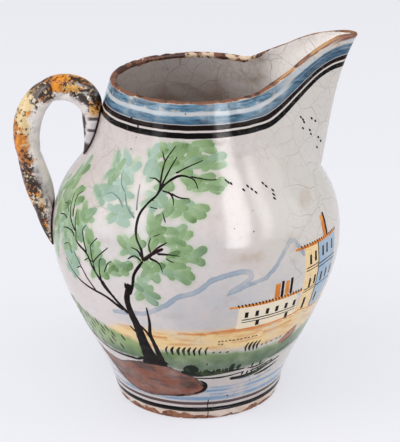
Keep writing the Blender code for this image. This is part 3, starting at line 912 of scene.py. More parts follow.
def paint_crazing(n):
    """Fine cracks and specks of the glaze, and its small bumps."""
    cracks = n.cracks(50.0, 0.013, 24.0, 0.030) | n.cracks(130.0, 0.026, 50.0, 0.014) * 0.5
    where = n.patches(0.47, 0.66, 11.0, 2.0) | n.inner | n.step(n.reach, 48.0, 68.0)
    n.lay((cracks * where * (n.inner * 0.12 + 0.55), CRAZE),
          (n.specks(60.0, 0.055) * n.patches(0.5, 0.56, 31.0), CLAY_DARK))
    n.bump(n.noise(120.0, 2.0) * 0.5 + n.noise(28.0, 1.0) * 1.2 - cracks * 0.25, 0.12, 0.0006)


def painted_glaze():
    """Material of the body and the lip: rough where clay is bare, and less glossy on the black lines."""
    n = Nodes("painted glaze")
    n.drop, n.reach = n.field("drop"), n.field("reach")
    n.edge, n.uneven = n.wander(1.6, 260.0), n.wander(0.9, 70.0, 2.0)
    n.slow = n.noise(55.0, 4.0)
    n.outside, n.inner = n.step(n.drop, -0.4, 0.4), n.step(n.drop, -0.5, -3.0)
    for paint in (paint_ground, paint_landscape, paint_rim_bands, paint_water, paint_inside, paint_worn_rim,
                  paint_crazing):
        paint(n)
    return n.finish(n.bare * 0.4 + 0.13, n.lines * (LINE_GLOSS - GLOSS) + GLOSS)


def jug_wall():
    """Body and pouring lip, cut from one grid so that the glaze runs over their joint."""
    grid, drops = glazed_grid()
    row_count, size = drops.shape
    points = grid.reshape(-1, 3)
    fields = {**paint_fields(points), "reach": points[:, 0] / MM}
    fields = {key: np.append(values, (UNPAINTED, UNPAINTED)) for key, values in fields.items()}
    fields["drop"] = np.append(drops, (BASE_DROP, FLOOR_DROP))
    points = np.vstack((points, [(0, 0, BASE_HEIGHT), (0, 0, FLOOR_HEIGHT)]))
    first = len(BASE_RINGS) + LOW_ROWS
    last = first + 2 * HIGH_ROWS + RIM_ROWS - 1
    front = NOSE_COLUMNS + WALL_COLUMNS
    left, right = size // 2 - front, size // 2 + front
    lip_faces = grid_faces(range(first, last), range(left, right), size)
    on_lip = set(lip_faces)
    body_faces = [face for face in closed_faces(row_count, size) if face not in on_lip]
    seam = [((first + step) * size + column, (first + step + 1) * size + column,
             (last - step - 1) * size + column, (last - step) * size + column)
            for column in (left, right) for step in range((last - first) // 2)]
    seam += [(first * size + column, first * size + column + 1, last * size + column + 1, last * size + column)
             for column in range(left, right)]
    glaze = painted_glaze()
    add_piece("body_glazed", "body", points, body_faces + seam, glaze, fields)
    add_piece("lip_glazed", "pouring_lip", points, lip_faces + seam, glaze, fields)


# Brush strokes: thin raised lines of colour that follow the glazed wall, in millimetres
STROKE_STEP = 0.9
STROKE_LIFT = 0.09
STROKE_SINK = 0.09
STROKE_EDGE = -0.012
STROKE_FLAT = 0.55
LEAST_END = 0.2
LEAST_TIP = 0.02
SMALL_STEP = 0.0002
DAB_LIFT = (0.03, 0.07)
DAB_WIDTHS = (1.3, 2.1, 1.9)
DAB_FADE = 0.2


def run_lengths(path):
    """Length along a path up to each of its points."""
    return np.concatenate([[0.0], np.cumsum(np.linalg.norm(np.diff(path, axis=0), axis=1))])


class Ink:
    """Strokes of one colour, gathered into one piece."""

    def __init__(self):
        self.points, self.faces = [], []
        self.fields = {"tint": [], "strength": []}

    def stroke(self, line, widths, blunt=False, top=STROKE_LIFT, tint=0.0, strength=(0.0, 0.0)):
        """One brush line through places in degrees and millimetres, with its widths in millimetres."""
        curve = smooth_line(line)
        turn, height = np.radians(curve[:, 0] - 90), curve[:, 1] * MM
        steps = run_lengths(outer_point(turn, height))
        length = steps[-1] / MM
        places = np.linspace(0, steps[-1], max(4, int(length / STROKE_STEP)))
        turn, height = np.interp(places, steps, turn), np.interp(places, steps, height)
        east = outer_point(turn + SMALL_STEP, height) - outer_point(turn - SMALL_STEP, height)
        north = outer_point(turn, height + SMALL_STEP) - outer_point(turn, height - SMALL_STEP)
        round_size, rise_size = (np.linalg.norm(way, axis=1) / (2 * SMALL_STEP) for way in (east, north))
        way = np.gradient(outer_point(turn, height), axis=0)
        a, b = (way * east).sum(1) / round_size, (way * north).sum(1) / rise_size
        a, b = a / np.hypot(a, b), b / np.hypot(a, b)
        wide = np.interp(places / steps[-1], np.linspace(0, 1, len(widths)), widths)
        if not blunt:
            end = np.minimum(places, steps[-1] - places) / MM
            end = end / np.minimum(np.maximum(wide / 2, LEAST_END), length / 2)
            wide = wide * np.sqrt(1 - (1 - np.clip(end, LEAST_TIP, 1)) ** 2)
        wide = wide * MM / 2
        section = ((-1, -STROKE_SINK), (-1, STROKE_EDGE), (-STROKE_FLAT, top), (0, top), (STROKE_FLAT, top),
                   (1, STROKE_EDGE), (1, -STROKE_SINK))
        rows = [outer_point(turn - b * across * wide / round_size, height + a * across * wide / rise_size, lift * MM)
                for across, lift in section]
        first, count, around = len(self.points), len(places), len(section)
        self.points += np.stack(rows, 1).reshape(-1, 3).tolist()
        self.fields["tint"] += [tint] * (count * around)
        self.fields["strength"] += np.repeat(np.linspace(*strength, count), around).tolist()
        faces = grid_faces(range(count - 1), range(around), around)
        faces += [range(around), range(count * around - 1, (count - 1) * around - 1, -1)]
        self.faces += [tuple(first + index for index in face) for face in faces]

    def finish(self, name, material):
        add_piece(name, "body", self.points, self.faces, material, self.fields)


# Tree: lines with their widths
TRUNK = [
    (-26.8, 112), (-28.4, 100), (-27.5, 89), (-26, 79), (-25.4, 69), (-24.6, 59), (-23.8, 52), (-23.5, 46.5),
]
TRUNK_WIDTHS = (3.4, 4.4, 4.8, 5.8, 7.0, 8.2, 10.5, 17.0)
SECOND_STEM = [(-20.3, 96.5), (-20, 85), (-20.8, 74), (-19.6, 64), (-18.6, 55), (-18.4, 46.5)]
SECOND_WIDTHS = (1.0, 2.0, 2.6, 3.2, 4.2, 7.5)
TWIG_WEIGHT = 1.35
TREE_STROKES = [
    ([(-24.8, 81), (-22.5, 76.5), (-21, 71)], (1.6, 1.4)), ([(-30, 79), (-27.5, 74)], (0.8, 1.6)),
    ([(-29, 89), (-35, 100), (-39.5, 110)], (2.2, 1.2)), ([(-28.6, 112.5), (-28, 108)], (1.2, 2)),
    ([(-27, 104), (-25.2, 112), (-24.5, 119.5), (-21, 129)], (2, 1.6, 1.7)),
    ([(-21, 129), (-22, 136), (-24.5, 142.5), (-25.5, 150), (-25, 156.5), (-22.5, 162), (-19.5, 166),
      (-17.5, 170.5), (-16, 173)], (1.5, 1.4, 1.4, 1.7)),
    ([(-18.3, 168.5), (-18.6, 175), (-18, 182.5), (-16.5, 187.5), (-11.5, 195.5)], (1.4, 1.1, 0.6)),
    ([(-19.5, 192), (-17.8, 186)], (0.6, 1)),
    ([(-18.5, 168), (-17, 174), (-14, 182), (-10.5, 189)], (1.5, 0.7)),
    ([(-18.5, 173), (-21.5, 175), (-25.5, 175)], (1.2, 0.6)),
    ([(-19, 167.5), (-17, 171), (-14, 174.5), (-9.5, 177.5), (-5, 177.5), (-1, 175.5), (1, 170.5)],
      (1.6, 1.3, 0.6)),
    ([(-3, 177.5), (2, 176.5), (6.5, 175.5), (11, 175.5)], (1, 0.6)),
    ([(-11, 179), (-4.5, 183), (4, 187)], (1.1, 0.6)),
    ([(-17, 169), (-13, 168), (-11, 165), (-10.5, 161.5)], (1.3, 0.6)),
    ([(-12.5, 168), (-8, 166), (-3, 165.5)], (1, 0.6)), ([(-21.5, 160), (-17.5, 159.5)], (0.9, 0.6)),
    ([(-15, 158), (-13, 152.5)], (0.8, 0.6)), ([(-22, 163.5), (-20, 163.5)], (0.7, 0.7)),
    ([(-21, 129), (-17.5, 134), (-13, 138)], (2.2, 1.4)),
    ([(-17.5, 134.5), (-15, 138.5), (-11.5, 142)], (1.3, 0.7)),
    ([(-15.5, 134.5), (-10.5, 134.5), (-6.5, 134)], (1.3, 0.6)),
    ([(-18.5, 131.5), (-14.5, 128.5), (-13, 123)], (1.3, 0.6)), ([(-12, 132), (-8.5, 129.5)], (0.8, 0.6)),
    ([(-21.3, 131), (-23.5, 135), (-26.5, 136.5)], (1.4, 0.7)),
    ([(-21.5, 128.5), (-24.5, 131.5), (-27.5, 128.5)], (1.2, 0.7)),
    ([(-18, 134.5), (-19, 139.5), (-18.5, 144)], (1.2, 0.6)), ([(-17.5, 144.5), (-14.5, 146.5)], (0.7, 0.6)),
    ([(-34, 99), (-39, 106), (-40, 111), (-40.5, 117), (-40.5, 122.5), (-39.5, 125)], (1.6, 1.3, 0.6)),
    ([(-40, 109), (-44.5, 118), (-47.5, 124.5), (-54, 129), (-55.5, 134.5), (-58, 142), (-58.5, 147)],
      (1.5, 1.3, 0.6)),
    ([(-56, 135), (-62, 141.5), (-65, 148), (-67, 154.5)], (1.3, 0.6)),
    ([(-60, 142), (-62.5, 149.5), (-63.5, 154), (-61.5, 158)], (1.1, 0.6)),
    ([(-47.5, 125), (-50.5, 134), (-51.5, 138.5), (-50, 142)], (1.1, 0.6)),
    ([(-42.5, 114), (-45, 126), (-45.5, 131), (-42.5, 137)], (1.1, 0.6)),
    ([(-66, 132.5), (-62.5, 134), (-58.5, 134), (-56, 131.5)], (0.7, 1.2)),
    ([(-72, 138), (-68, 140), (-64, 139.5)], (0.6, 1)),
    ([(-62, 114), (-58, 108), (-53.5, 103.5), (-48, 101), (-38.5, 98), (-31, 91)], (0.7, 1.3, 2)),
    ([(-56, 122), (-52, 116), (-47.5, 107), (-43.5, 100)], (0.5, 0.9, 1.2)),
    ([(-54, 111), (-51.6, 113.6), (-49.6, 111.4)], (0.6, 0.7)),
    ([(-49, 119), (-46.5, 121.5), (-43.5, 120)], (0.6, 0.7)),
    ([(-64, 122), (-60.5, 125), (-57.5, 123.5)], (0.6, 0.6)),
    ([(-38, 116), (-36.6, 122), (-34.5, 125)], (1, 0.5)), ([(-64.5, 143), (-68, 147), (-71, 146)], (0.9, 0.5)),
    ([(-44, 120), (-41, 126), (-36.6, 133)], (1, 0.5)),
]
PALE_STROKES = [
    ([(-42.5, 175), (-40, 169), (-36, 165)], (0.7, 1.2)),
    ([(-46, 161.5), (-43, 163), (-37.5, 161), (-34, 157)], (0.7, 1.3)),
    ([(-29.5, 171), (-28.5, 164), (-27, 157)], (0.7, 1.2)), ([(-36, 165), (-32, 158), (-27, 153)], (1, 1.4)),
]

# Tree on the back, counted from its stem
BACK_BRANCHES = [
    ([(0, 45), (-1.5, 68), (0.5, 90), (-1, 112), (1.5, 132), (0, 152), (2, 170)],
      (10, 6.4, 4.8, 3.4, 2.4, 1.6, 0.8)),
    ([(7, 45), (5.6, 66), (8, 86), (12.5, 104), (14.5, 120), (13, 134)], (6, 3.8, 2.8, 2.2, 1.6, 0.8)),
    ([(0, 88), (-6, 100), (-12, 108), (-15.5, 120), (-15, 132)], (3, 2.2, 1.6, 0.9)),
    ([(-9, 105), (-16, 107), (-21, 114)], (2, 0.9)),
    ([(0, 112), (6, 124), (9, 136), (13, 150)], (2.6, 1.8, 0.9)),
    ([(9, 136), (15, 138), (20, 145)], (1.6, 0.8)),
    ([(0.5, 126), (-5, 136), (-7, 148), (-11, 160)], (2.2, 1.6, 0.8)),
    ([(-6, 140), (-13, 141), (-18, 148)], (1.6, 0.8)), ([(0.5, 146), (5, 156), (8, 170)], (1.8, 0.8)),
    ([(13, 108), (18, 114), (20, 124)], (1.6, 0.8)), ([(-0.5, 152), (-4, 162), (-4, 172)], (1.4, 0.7)),
]

# Grass, hedge and ground
GRASS_HEIGHT = 58
BACK_GRASS_HEIGHT = 49
BLADE = ((0.8, 8), (-0.4, 4.5), (0, 0))
BLADE_WIDTHS = (0.7, 1.5, 0.7)
GRASS = [
    (-14.4, 1), (-11.7, 1.5), (-8.8, 1.6), (-6.3, 1.5), (-3.9, 1.4), (-1.4, 1.3), (1.1, 1.1), (4, 1),
    (23.2, 1.2), (25.2, 1.5), (27.3, 1.5), (29.2, 1.3),
]
GRASS_DOTS = [
    (7.2, 60.6), (10.4, 60.4), (13.9, 60), (31.4, 61), (33.8, 61.4), (36.6, 61.8), (39.6, 62.4), (42, 62.6),
]
BACK_TICKS = [122, 130, 136, 144, 190, 196, 203, 210, 248]
LEFT_TICKS = [
    (-69, 78), (-63, 76), (-57, 73.6), (-51, 71.6), (-45, 69.4), (-56.5, 66), (-49.5, 64), (-43, 61.6),
    (-66, 69), (-72, 77), (-66, 74), (-60, 72), (-54, 70), (-48, 68), (-42, 66), (-67, 64), (-60, 62),
    (-53, 60), (-46, 58), (-39, 57), (-62, 55), (-54, 53.5), (-70, 69), (-36, 66),
]
HEDGE = [
    ([(-9, 43), (-2, 41), (6, 41), (16, 41.6), (26, 42)], (3, 6, 4.6, 2.4, 1.2)),
    ([(-7, 43), (-3.6, 46.5), (0, 43)], (5, 8, 4.6)), ([(17.4, 42), (18.8, 48.5)], (4.4, 3)),
    ([(21.4, 42.6), (22.4, 47)], (3.8, 2.6)), ([(3.5, 42), (5, 45)], (4.4, 3.2)),
    ([(10, 42), (11.5, 45)], (4.6, 3)), ([(14.6, 42), (15.4, 45)], (3.2, 2.4)),
    ([(-2, 37.2), (8, 36.6), (17, 37.2), (26, 39)], (1.2, 2, 1)),
    ([(18, 34.4), (26, 34.2), (33.5, 35.5), (41, 38.5), (50, 42)], (3.2, 4, 1.6)),
    ([(34, 32.5), (43, 34.5), (50, 37.5)], (1.6, 3.2, 1.2)), ([(27, 41.5), (33, 41), (39, 43)], (0.9, 2, 0.9)),
    ([(30, 37.8), (36, 39.4), (44, 42.4)], (1.4, 2.4, 1)), ([(40, 45), (46, 47), (54, 50)], (0.8, 1.8, 0.8)),
]
HEDGE_TUFTS = [
    (1, 42.5), (3.4, 43), (5.6, 42.6), (8, 43), (10.4, 42.6), (12.8, 43), (15, 42.4), (25, 37.6), (28, 37.2),
    (31, 38), (35, 38.4), (40, 40.6), (43.5, 41.5), (30, 43.6), (35, 44),
]
GROUND_LINES = [
    ([(-74, 60), (-66, 54.5), (-56, 50), (-44, 48.6), (-33, 49)], (0.8, 1.4, 1.8, 2.6)),
    ([(6.6, 17), (6.2, 12), (6.5, 8.9)], (0.8, 0.6)), ([(-28, 52), (-31, 49.5), (-35, 48)], (3, 2.4, 1)),
    ([(-17, 51), (-15, 48.5)], (2.2, 1.2)),
    ([(1.2, 35), (4, 31.6), (4.4, 28), (2, 24.6), (-3, 22.6)], (1, 2.6, 2.8, 2, 0.8)),
    ([(2, 29.6), (4.6, 30)], (1.6, 2.4)), ([(-66, 47), (-60, 40), (-56, 32), (-50, 24)], (0.8, 1.6, 1.4, 0.8)),
    ([(-14, 20), (-8, 21.4)], (1, 1.6)), ([(4.3, 50), (4.9, 50)], (2.6, 2.6)),
]
STONE_LINES = [
    ([(42.4, 57.4), (46, 62.6), (50, 66), (52.6, 67)], (0.7, 0.9, 0.6)),
    ([(45, 55.8), (50, 57.8), (53, 62.4)], (0.6, 0.9, 0.6)),
]

# Houses; uprights are a direction, two heights and two widths, and roofs two ends and a number of tiles
HOUSE_FEET = [
    ([(-6, 77.4), (2, 77.2), (9, 77.6)], (0.6, 1.4, 0.8)),
    ([(5, 78.6), (16, 78.8), (30, 79.2), (44, 80.4), (50, 82)], (0.8, 1.3, 1)),
    ([(47, 82), (56, 79), (63, 78.4)], (0.8, 1.2, 0.8)),
]
LEDGES = [
    ([(18, 86.4), (30, 86.6), (44.5, 87)], (0.9, 0.78)), ([(18, 84.4), (30, 84.6), (44.5, 85)], (0.75, 0.65)),
    ([(47, 112.8), (55.3, 113.2)], (0.9, 0.78)), ([(47, 110.8), (55.3, 111.2)], (0.75, 0.65)),
    ([(47, 97), (55.3, 97.4)], (0.9, 0.78)), ([(47, 95.2), (55.3, 95.6)], (0.75, 0.65)),
    ([(55, 112), (62, 112), (69.5, 111)], (0.9, 0.78)),
    ([(55, 109.6), (62, 109.6), (69.3, 108.6)], (0.75, 0.65)), ([(55, 96), (62, 96), (68.4, 95)], (0.9, 0.78)),
    ([(54.7, 129), (55, 104), (55.3, 80)], (1.05, 0.91)),
]
WINDOW_HEIGHT = 90.15
LOW_WINDOWS = [20, 24.6, 29.3, 33.8, 38.5, 43]
TALL_WINDOWS = [
    (49.6, 118), (52.8, 119), (50.2, 101), (53.4, 102), (58.2, 119.5), (61.6, 119.6), (66.4, 119.4),
    (58.4, 101), (62.4, 101.4), (67, 101), (58.2, 86),
]
DARK_UPRIGHTS = [
    (25.4, 84.6, 80.4, 2.6, 2.8), (40, 84.2, 79, 2.6, 2.8), (49.6, 90.5, 82, 2.6, 2.8),
    (34.9, 99, 110.4, 2.4, 2.16), (39.3, 99.6, 110.8, 2.4, 2.16), (62, 128, 143, 2.6, 2.34),
]
ORANGE_UPRIGHTS = [(32.6, 99, 109.5, 4.4, 3.96), (37.2, 99, 109.6, 3.6, 3.24), (60.2, 128, 142, 4.4, 3.96)]
ROOFS = [((14.5, 97.4), (45.5, 98.4), 21), ((43, 128.6), (70.5, 127.4), 17)]
ROOF_WIDTHS = (1.8, 2.4, 2.2)
ROOF_OVERHANG = 2
ROOF_DROP = 0.4
FIRST_TILE = 0.06

# Birds, dots and chips in the glaze
BIRDS = [
    (15.5, 174.6), (16.6, 173.4), (18, 172.6), (23.7, 168.4), (26.3, 170), (28, 168), (29.6, 166), (35, 169.8),
    (36.2, 167.9), (38.9, 165), (38.4, 162.8), (37.9, 160.8), (71, 201), (72.2, 199), (72.8, 197), (77.2, 198),
    (79.3, 195.4), (72, 193.2), (76.2, 190.4), (76.9, 187.4), (81.5, 183.4), (83.2, 180), (81, 176.6),
]
DOTS = [
    (9.5, 70), (11, 70.2), (12.6, 70.1), (14.4, 70.4), (16, 70.2), (18, 70.5), (19.6, 70.3), (21.4, 70.6),
    (23, 70.4), (25, 70.8), (26.6, 70.6), (9.6, 67.8), (11, 67.6),
]
GLAZE_CHIPS = [
    ([(-44, 208.3), (-42.3, 207.2)], (1.5, 1.9)),
    ([(-37.7, 206.7), (-37.3, 204), (-36.7, 201.8)], (0.9, 1.3, 0.8)), ([(-6.8, 215), (-6, 214.7)], (1, 1)),
    ([(-37.9, 197.2), (-37.3, 196.8)], (1, 1)), ([(-40.4, 189.6), (-39.6, 189)], (1.1, 1)),
    ([(15.3, 149.2), (15.7, 148.8)], (0.8, 0.8)), ([(23.1, 146.2), (23.6, 145.8)], (1.1, 1.1)),
    ([(24.9, 157.2), (25.2, 156.9)], (0.7, 0.7)),
]


def ink_material(name, dark, light):
    n = Nodes(name)
    n.colour = n.mix(n.patches(0.42, 0.7, 140.0), dark, light)
    return n.finish(0.2, INK_GLOSS)


def leaf_material():
    """Thin green paint, stronger where the brush leaves the glaze; its teal is partly a painted reflection."""
    n = Nodes("leaf paint")
    tint = n.field("tint")
    amount = n.field("strength") + n.wander(0.9, 110.0, 4.0)
    # Teal tint: partly real blue-green paint, partly a painted reflection of a window on the upper left leaves
    n.colour = n.coats(n.mix(tint, LEAF_PALE, PALE_TEAL_WITH_SHEEN),
                       (n.step(amount, 0.2, 0.7), n.mix(tint, LEAF_GREEN, LEAF_TEAL_WITH_SHEEN)),
                       (n.step(amount, 0.65, 1.05), n.mix(tint, LEAF_DEEP, LEAF_TEAL_WITH_SHEEN)))
    return n.finish(0.14)


def painted_leaves():
    """Leaf marks as thin crisp dabs of paint, the stronger ones on top."""
    ink = Ink()
    crisp = [mark for mark in LEAF_DABS if mark[-1] > SOFT_DABS]
    for i, ((phi, height), length, width, tilt, tint, strength) in enumerate(crisp):
        tilt = math.radians(tilt)
        along = math.degrees(length * math.cos(tilt) * MM / float(body_radius(height * MM)))
        up = length * math.sin(tilt) / float(surface_stretch(height * MM))
        top = DAB_LIFT[0] + (DAB_LIFT[1] - DAB_LIFT[0]) * i / len(crisp)
        ink.stroke([(phi - along, height - up), (phi + along, height + up)], [share * width for share in DAB_WIDTHS],
                   False, top, tint, (strength - DAB_FADE, strength + DAB_FADE))
    ink.finish("ink_leaf", leaf_material())


def moved(line, phi, height, size=1.0):
    """Line set off from a place."""
    return [(phi + along * size, height + up * size) for along, up in line]


def painted_lines():
    """Crisp brushwork: tree, houses, grass, hedge and birds."""
    dark, pale, green, orange = Ink(), Ink(), Ink(), Ink()
    dark.stroke(TRUNK, TRUNK_WIDTHS, True)
    dark.stroke(SECOND_STEM, SECOND_WIDTHS, True)
    for line, widths in TREE_STROKES:
        dark.stroke(line, [TWIG_WEIGHT * width for width in widths])
    for phi, size in BACK_TREES:
        for line, widths in BACK_BRANCHES:
            dark.stroke(moved(line, phi, TREE_BASE * (1 - size), size), [width * size for width in widths])
    for phi, width in GRASS:
        green.stroke(moved(BLADE, phi, GRASS_HEIGHT), [width * share for share in BLADE_WIDTHS])
    for ink, strokes in ((dark, GROUND_LINES + STONE_LINES + LEDGES + GLAZE_CHIPS), (pale, PALE_STROKES),
                         (green, HEDGE), (orange, HOUSE_FEET)):
        for line, widths in strokes:
            ink.stroke(line, widths)
    for ink, uprights in ((dark, DARK_UPRIGHTS), (orange, ORANGE_UPRIGHTS)):
        for phi, start, end, *widths in uprights:
            ink.stroke([(phi, start), (phi, end)], widths, True)
    tiles = []
    for start, end, count in ROOFS:
        orange.stroke([(start[0] - ROOF_OVERHANG, start[1] - ROOF_DROP), (end[0], end[1] - ROOF_DROP)], ROOF_WIDTHS)
        tiles += [np.array(start) + np.subtract(end, start) * share for share in np.linspace(FIRST_TILE, 1, count)]
    # Small marks: ink, places, line of one mark from its place, widths and whether its ends are blunt
    for ink, places, mark, widths, blunt in (
            (green, GRASS_DOTS, ((0.7, 0.7), (-0.5, -0.7)), (1.5, 1.2), False),
            (green, HEDGE_TUFTS, ((0.5, 1.8), (0, -1.8)), (1.2, 2.0), False),
            (green, LEFT_TICKS, ((-1.0, 2.6), (-0.4, 0), (0.6, -2.4)), (1.0, 1.9, 1.2), False),
            (green, [(phi, BACK_GRASS_HEIGHT) for phi in BACK_TICKS], BLADE, (1.0, 2.0, 1.0), False),
            (dark, BIRDS, ((-0.7, 0.9), (0.45, -1.0)), (1.6, 1.3), False),
            (dark, DOTS, ((-0.6, -0.3), (0.5, 0.4)), (1.1, 1.2), False),
            (dark, tiles, ((-0.45, 1.4), (0.4, -1.2)), (1.7, 1.2), False),
            (dark, [(phi, WINDOW_HEIGHT) for phi in LOW_WINDOWS], ((0, 2.15), (0, -2.15)), (2.6, 2.6), True),
            (dark, TALL_WINDOWS, ((0, 3.4), (0, -3.2)), (2.2, 2.4), True)):
        for phi, height in places:
            ink.stroke(moved(mark, phi, height), widths, blunt)
    dark.finish("ink_dark", ink_material("dark ink", srgb(15, 10, 10), srgb(40, 24, 20)))
    pale.finish("ink_pale", ink_material("pale ink", srgb(104, 124, 126), srgb(132, 152, 150)))
    green.finish("ink_green", ink_material("green ink", srgb(28, 34, 28), srgb(60, 72, 46)))
    orange.finish("ink_orange", ink_material("orange ink", srgb(206, 122, 48), srgb(226, 158, 84)))


# Handle: path of the pair of rolls and their sections, as in the solids
HANDLE_GAP = 0.0349
HANDLE_REACH_DROP = 0.0410
HANDLE_CROWN_DROP = 0.0070
HANDLE_CROWN_GAP = 0.0315
HANDLE_ROUNDNESS = 0.56
TOP_SEAT_DROP = 0.0240
TOP_SEAT_OFFSET = 0.0056
LOW_SEAT_RISE = 0.0145
LOW_SEAT_OFFSET = 0.0066
ROLL_WIDTH = 0.0094
ROLL_HALF_DEPTH = 0.0084
TWIST_TURNS = 1.5
TAIL_TIP = 0.0011
TAIL_SPREAD = 0.0045
TAIL_POINTS = 30
TOP_TAIL_LENGTHS = (0.0275, 0.0190)
LOW_TAIL_LENGTHS = (0.0270, 0.0235)
TOP_TAPER = 0.0400
LOW_TAPER = 0.0480
ROLL_STATIONS = 240
ROLL_SIDES = 40
ROLL_FLAT_SIDES = 8
GROOVE = 0.14
GROOVE_SPREAD = 0.28
ROLL_OVERLAP = 0.0003

# Stretches of the handle, in millimetres from its low end, where the ochre and the dark sponging lie thickest
OCHRE_STRETCHES = ((62, 100), (118, 136), (148, 158))
DARK_STRETCHES = ((34, 62), (108, 120), (134, 150))
STRETCH_SOFTNESS = 3.0
DARK_LOW_TAIL = (36.0, 24.0)

# Painted places on the handle's upper tails, in millimetres from their points, and next to the wall
WHITE_TAIL = (31.0, 26.0)
DARK_POINT = (10.0, 7.0)
FIRST_BAR = (17.0, 19.0)
SECOND_BAR = (25.0, 27.5)
CONTACT = (2.3, 1.3)


def handle_path(top_tail, low_tail):
    """Middle of the pair of rolls in the XZ plane: low tail, free stretch and top tail."""
    low_seat, top_seat = BELLY_HEIGHT + LOW_SEAT_RISE, RIM_HEIGHT - TOP_SEAT_DROP
    low_z = np.linspace(low_seat - low_tail, low_seat, TAIL_POINTS)
    top_z = np.linspace(top_seat, top_seat - top_tail, TAIL_POINTS)
    low = np.column_stack([-body_radius(low_z) - np.linspace(TAIL_TIP, LOW_SEAT_OFFSET, TAIL_POINTS), low_z])
    top = np.column_stack([-body_radius(top_z) - np.linspace(TOP_SEAT_OFFSET, TAIL_TIP, TAIL_POINTS), top_z])
    reach_height = RIM_HEIGHT - HANDLE_REACH_DROP
    reach = np.array([-float(body_radius(reach_height)) - HANDLE_GAP - ROLL_WIDTH, reach_height])
    crown = np.array([-RIM_RADIUS - HANDLE_CROWN_GAP, RIM_HEIGHT - HANDLE_CROWN_DROP])
    start, end = low[-1], top[0]
    up, along = np.array([0.0, HANDLE_ROUNDNESS]), np.array([HANDLE_ROUNDNESS, 0.0])
    leave = HANDLE_ROUNDNESS * (start - low[-2]) / np.linalg.norm(start - low[-2])
    arrive = HANDLE_ROUNDNESS * (top[1] - end) / np.linalg.norm(top[1] - end)
    half_rise = (reach[1] - start[1]) / 2
    free = np.vstack((
        bezier(start, start + half_rise * leave, reach - half_rise * up, reach),
        bezier(reach, reach + (crown[1] - reach[1]) * up, crown - (crown[0] - reach[0]) * along, crown)[1:],
        bezier(crown, crown + (end[0] - crown[0]) * along, end - (crown[1] - end[1]) * arrive, end)[1:],
    ))
    return low, free, top


def roll_section(width, half_depth):
    """Half of an oval strap: a flat side on the twist's plane, with a shallow groove where the rolls meet."""
    turn = np.linspace(-math.pi / 2, math.pi / 2, ROLL_SIDES - ROLL_FLAT_SIDES)
    groove = 1 - GROOVE * np.exp(-(np.cos(turn) / GROOVE_SPREAD) ** 2)
    flat = np.linspace(1, -1, ROLL_FLAT_SIDES + 2)[1:-1]
    out = np.concatenate([width * (np.cos(turn) - 0.5), np.full(ROLL_FLAT_SIDES, -width / 2)])
    return out, np.concatenate([np.sin(turn) * groove, flat * (1 - GROOVE)]) * half_depth


def handle_roll(name, node, side, top_tail, low_tail, material):
    """One roll of the handle, wound round the other and drawn out to a tail at both ends."""
    low, free, top = handle_path(top_tail, low_tail)
    path = np.vstack((low, free[1:], top[1:]))
    steps = run_lengths(path)
    places = np.linspace(0, steps[-1], ROLL_STATIONS)
    path = np.column_stack([np.interp(places, steps, path[:, i]) for i in range(2)])
    low_length, free_length = run_lengths(low)[-1], run_lengths(free)[-1]
    ways = np.gradient(path, axis=0)
    ways /= np.linalg.norm(ways, axis=1)[:, None]
    rows, outs = [], []
    for point, way, place in zip(path, ways, places):
        share = math.sin(min(place / LOW_TAPER, (places[-1] - place) / TOP_TAPER, 1) * math.pi / 2)
        width = TAIL_TIP + (ROLL_WIDTH - TAIL_TIP) * share
        half_depth = TAIL_TIP / 2 + (ROLL_HALF_DEPTH - TAIL_TIP / 2) * share
        wound = min(max((place - low_length) / free_length, 0.0), 1.0)
        turn = math.pi / 2 + 2 * math.pi * TWIST_TURNS * wound
        outward, across = np.array([-way[1], 0.0, way[0]]), np.array([0.0, 1.0, 0.0])
        to_roll = math.cos(turn) * outward + math.sin(turn) * across
        to_edge = math.cos(turn) * across - math.sin(turn) * outward
        middle = np.array([point[0], 0.0, point[1]])
        offset = width / 2 + TAIL_SPREAD * (1 - share) - ROLL_OVERLAP * share
        out, up = roll_section(width, half_depth)
        ring = middle + np.outer((out + offset) * side, to_roll) + np.outer(up, to_edge)
        rows.append(ring)
        outs.append((ring - middle) @ outward / ROLL_HALF_DEPTH)
    points = np.vstack(rows)
    faces = grid_faces(range(ROLL_STATIONS - 1), range(ROLL_SIDES), ROLL_SIDES)
    faces += [tuple(range(start, start + ROLL_SIDES)) for start in (0, (ROLL_STATIONS - 1) * ROLL_SIDES)]
    gap = (np.hypot(points[:, 0], points[:, 1]) - body_radius(points[:, 2])) / MM
    fields = {"outward": np.concatenate(outs), "gap": gap, "along": np.repeat(places, ROLL_SIDES) / MM,
              "left": np.repeat(places[-1] - places, ROLL_SIDES) / MM}
    add_piece(name, node, points, faces, material, fields)


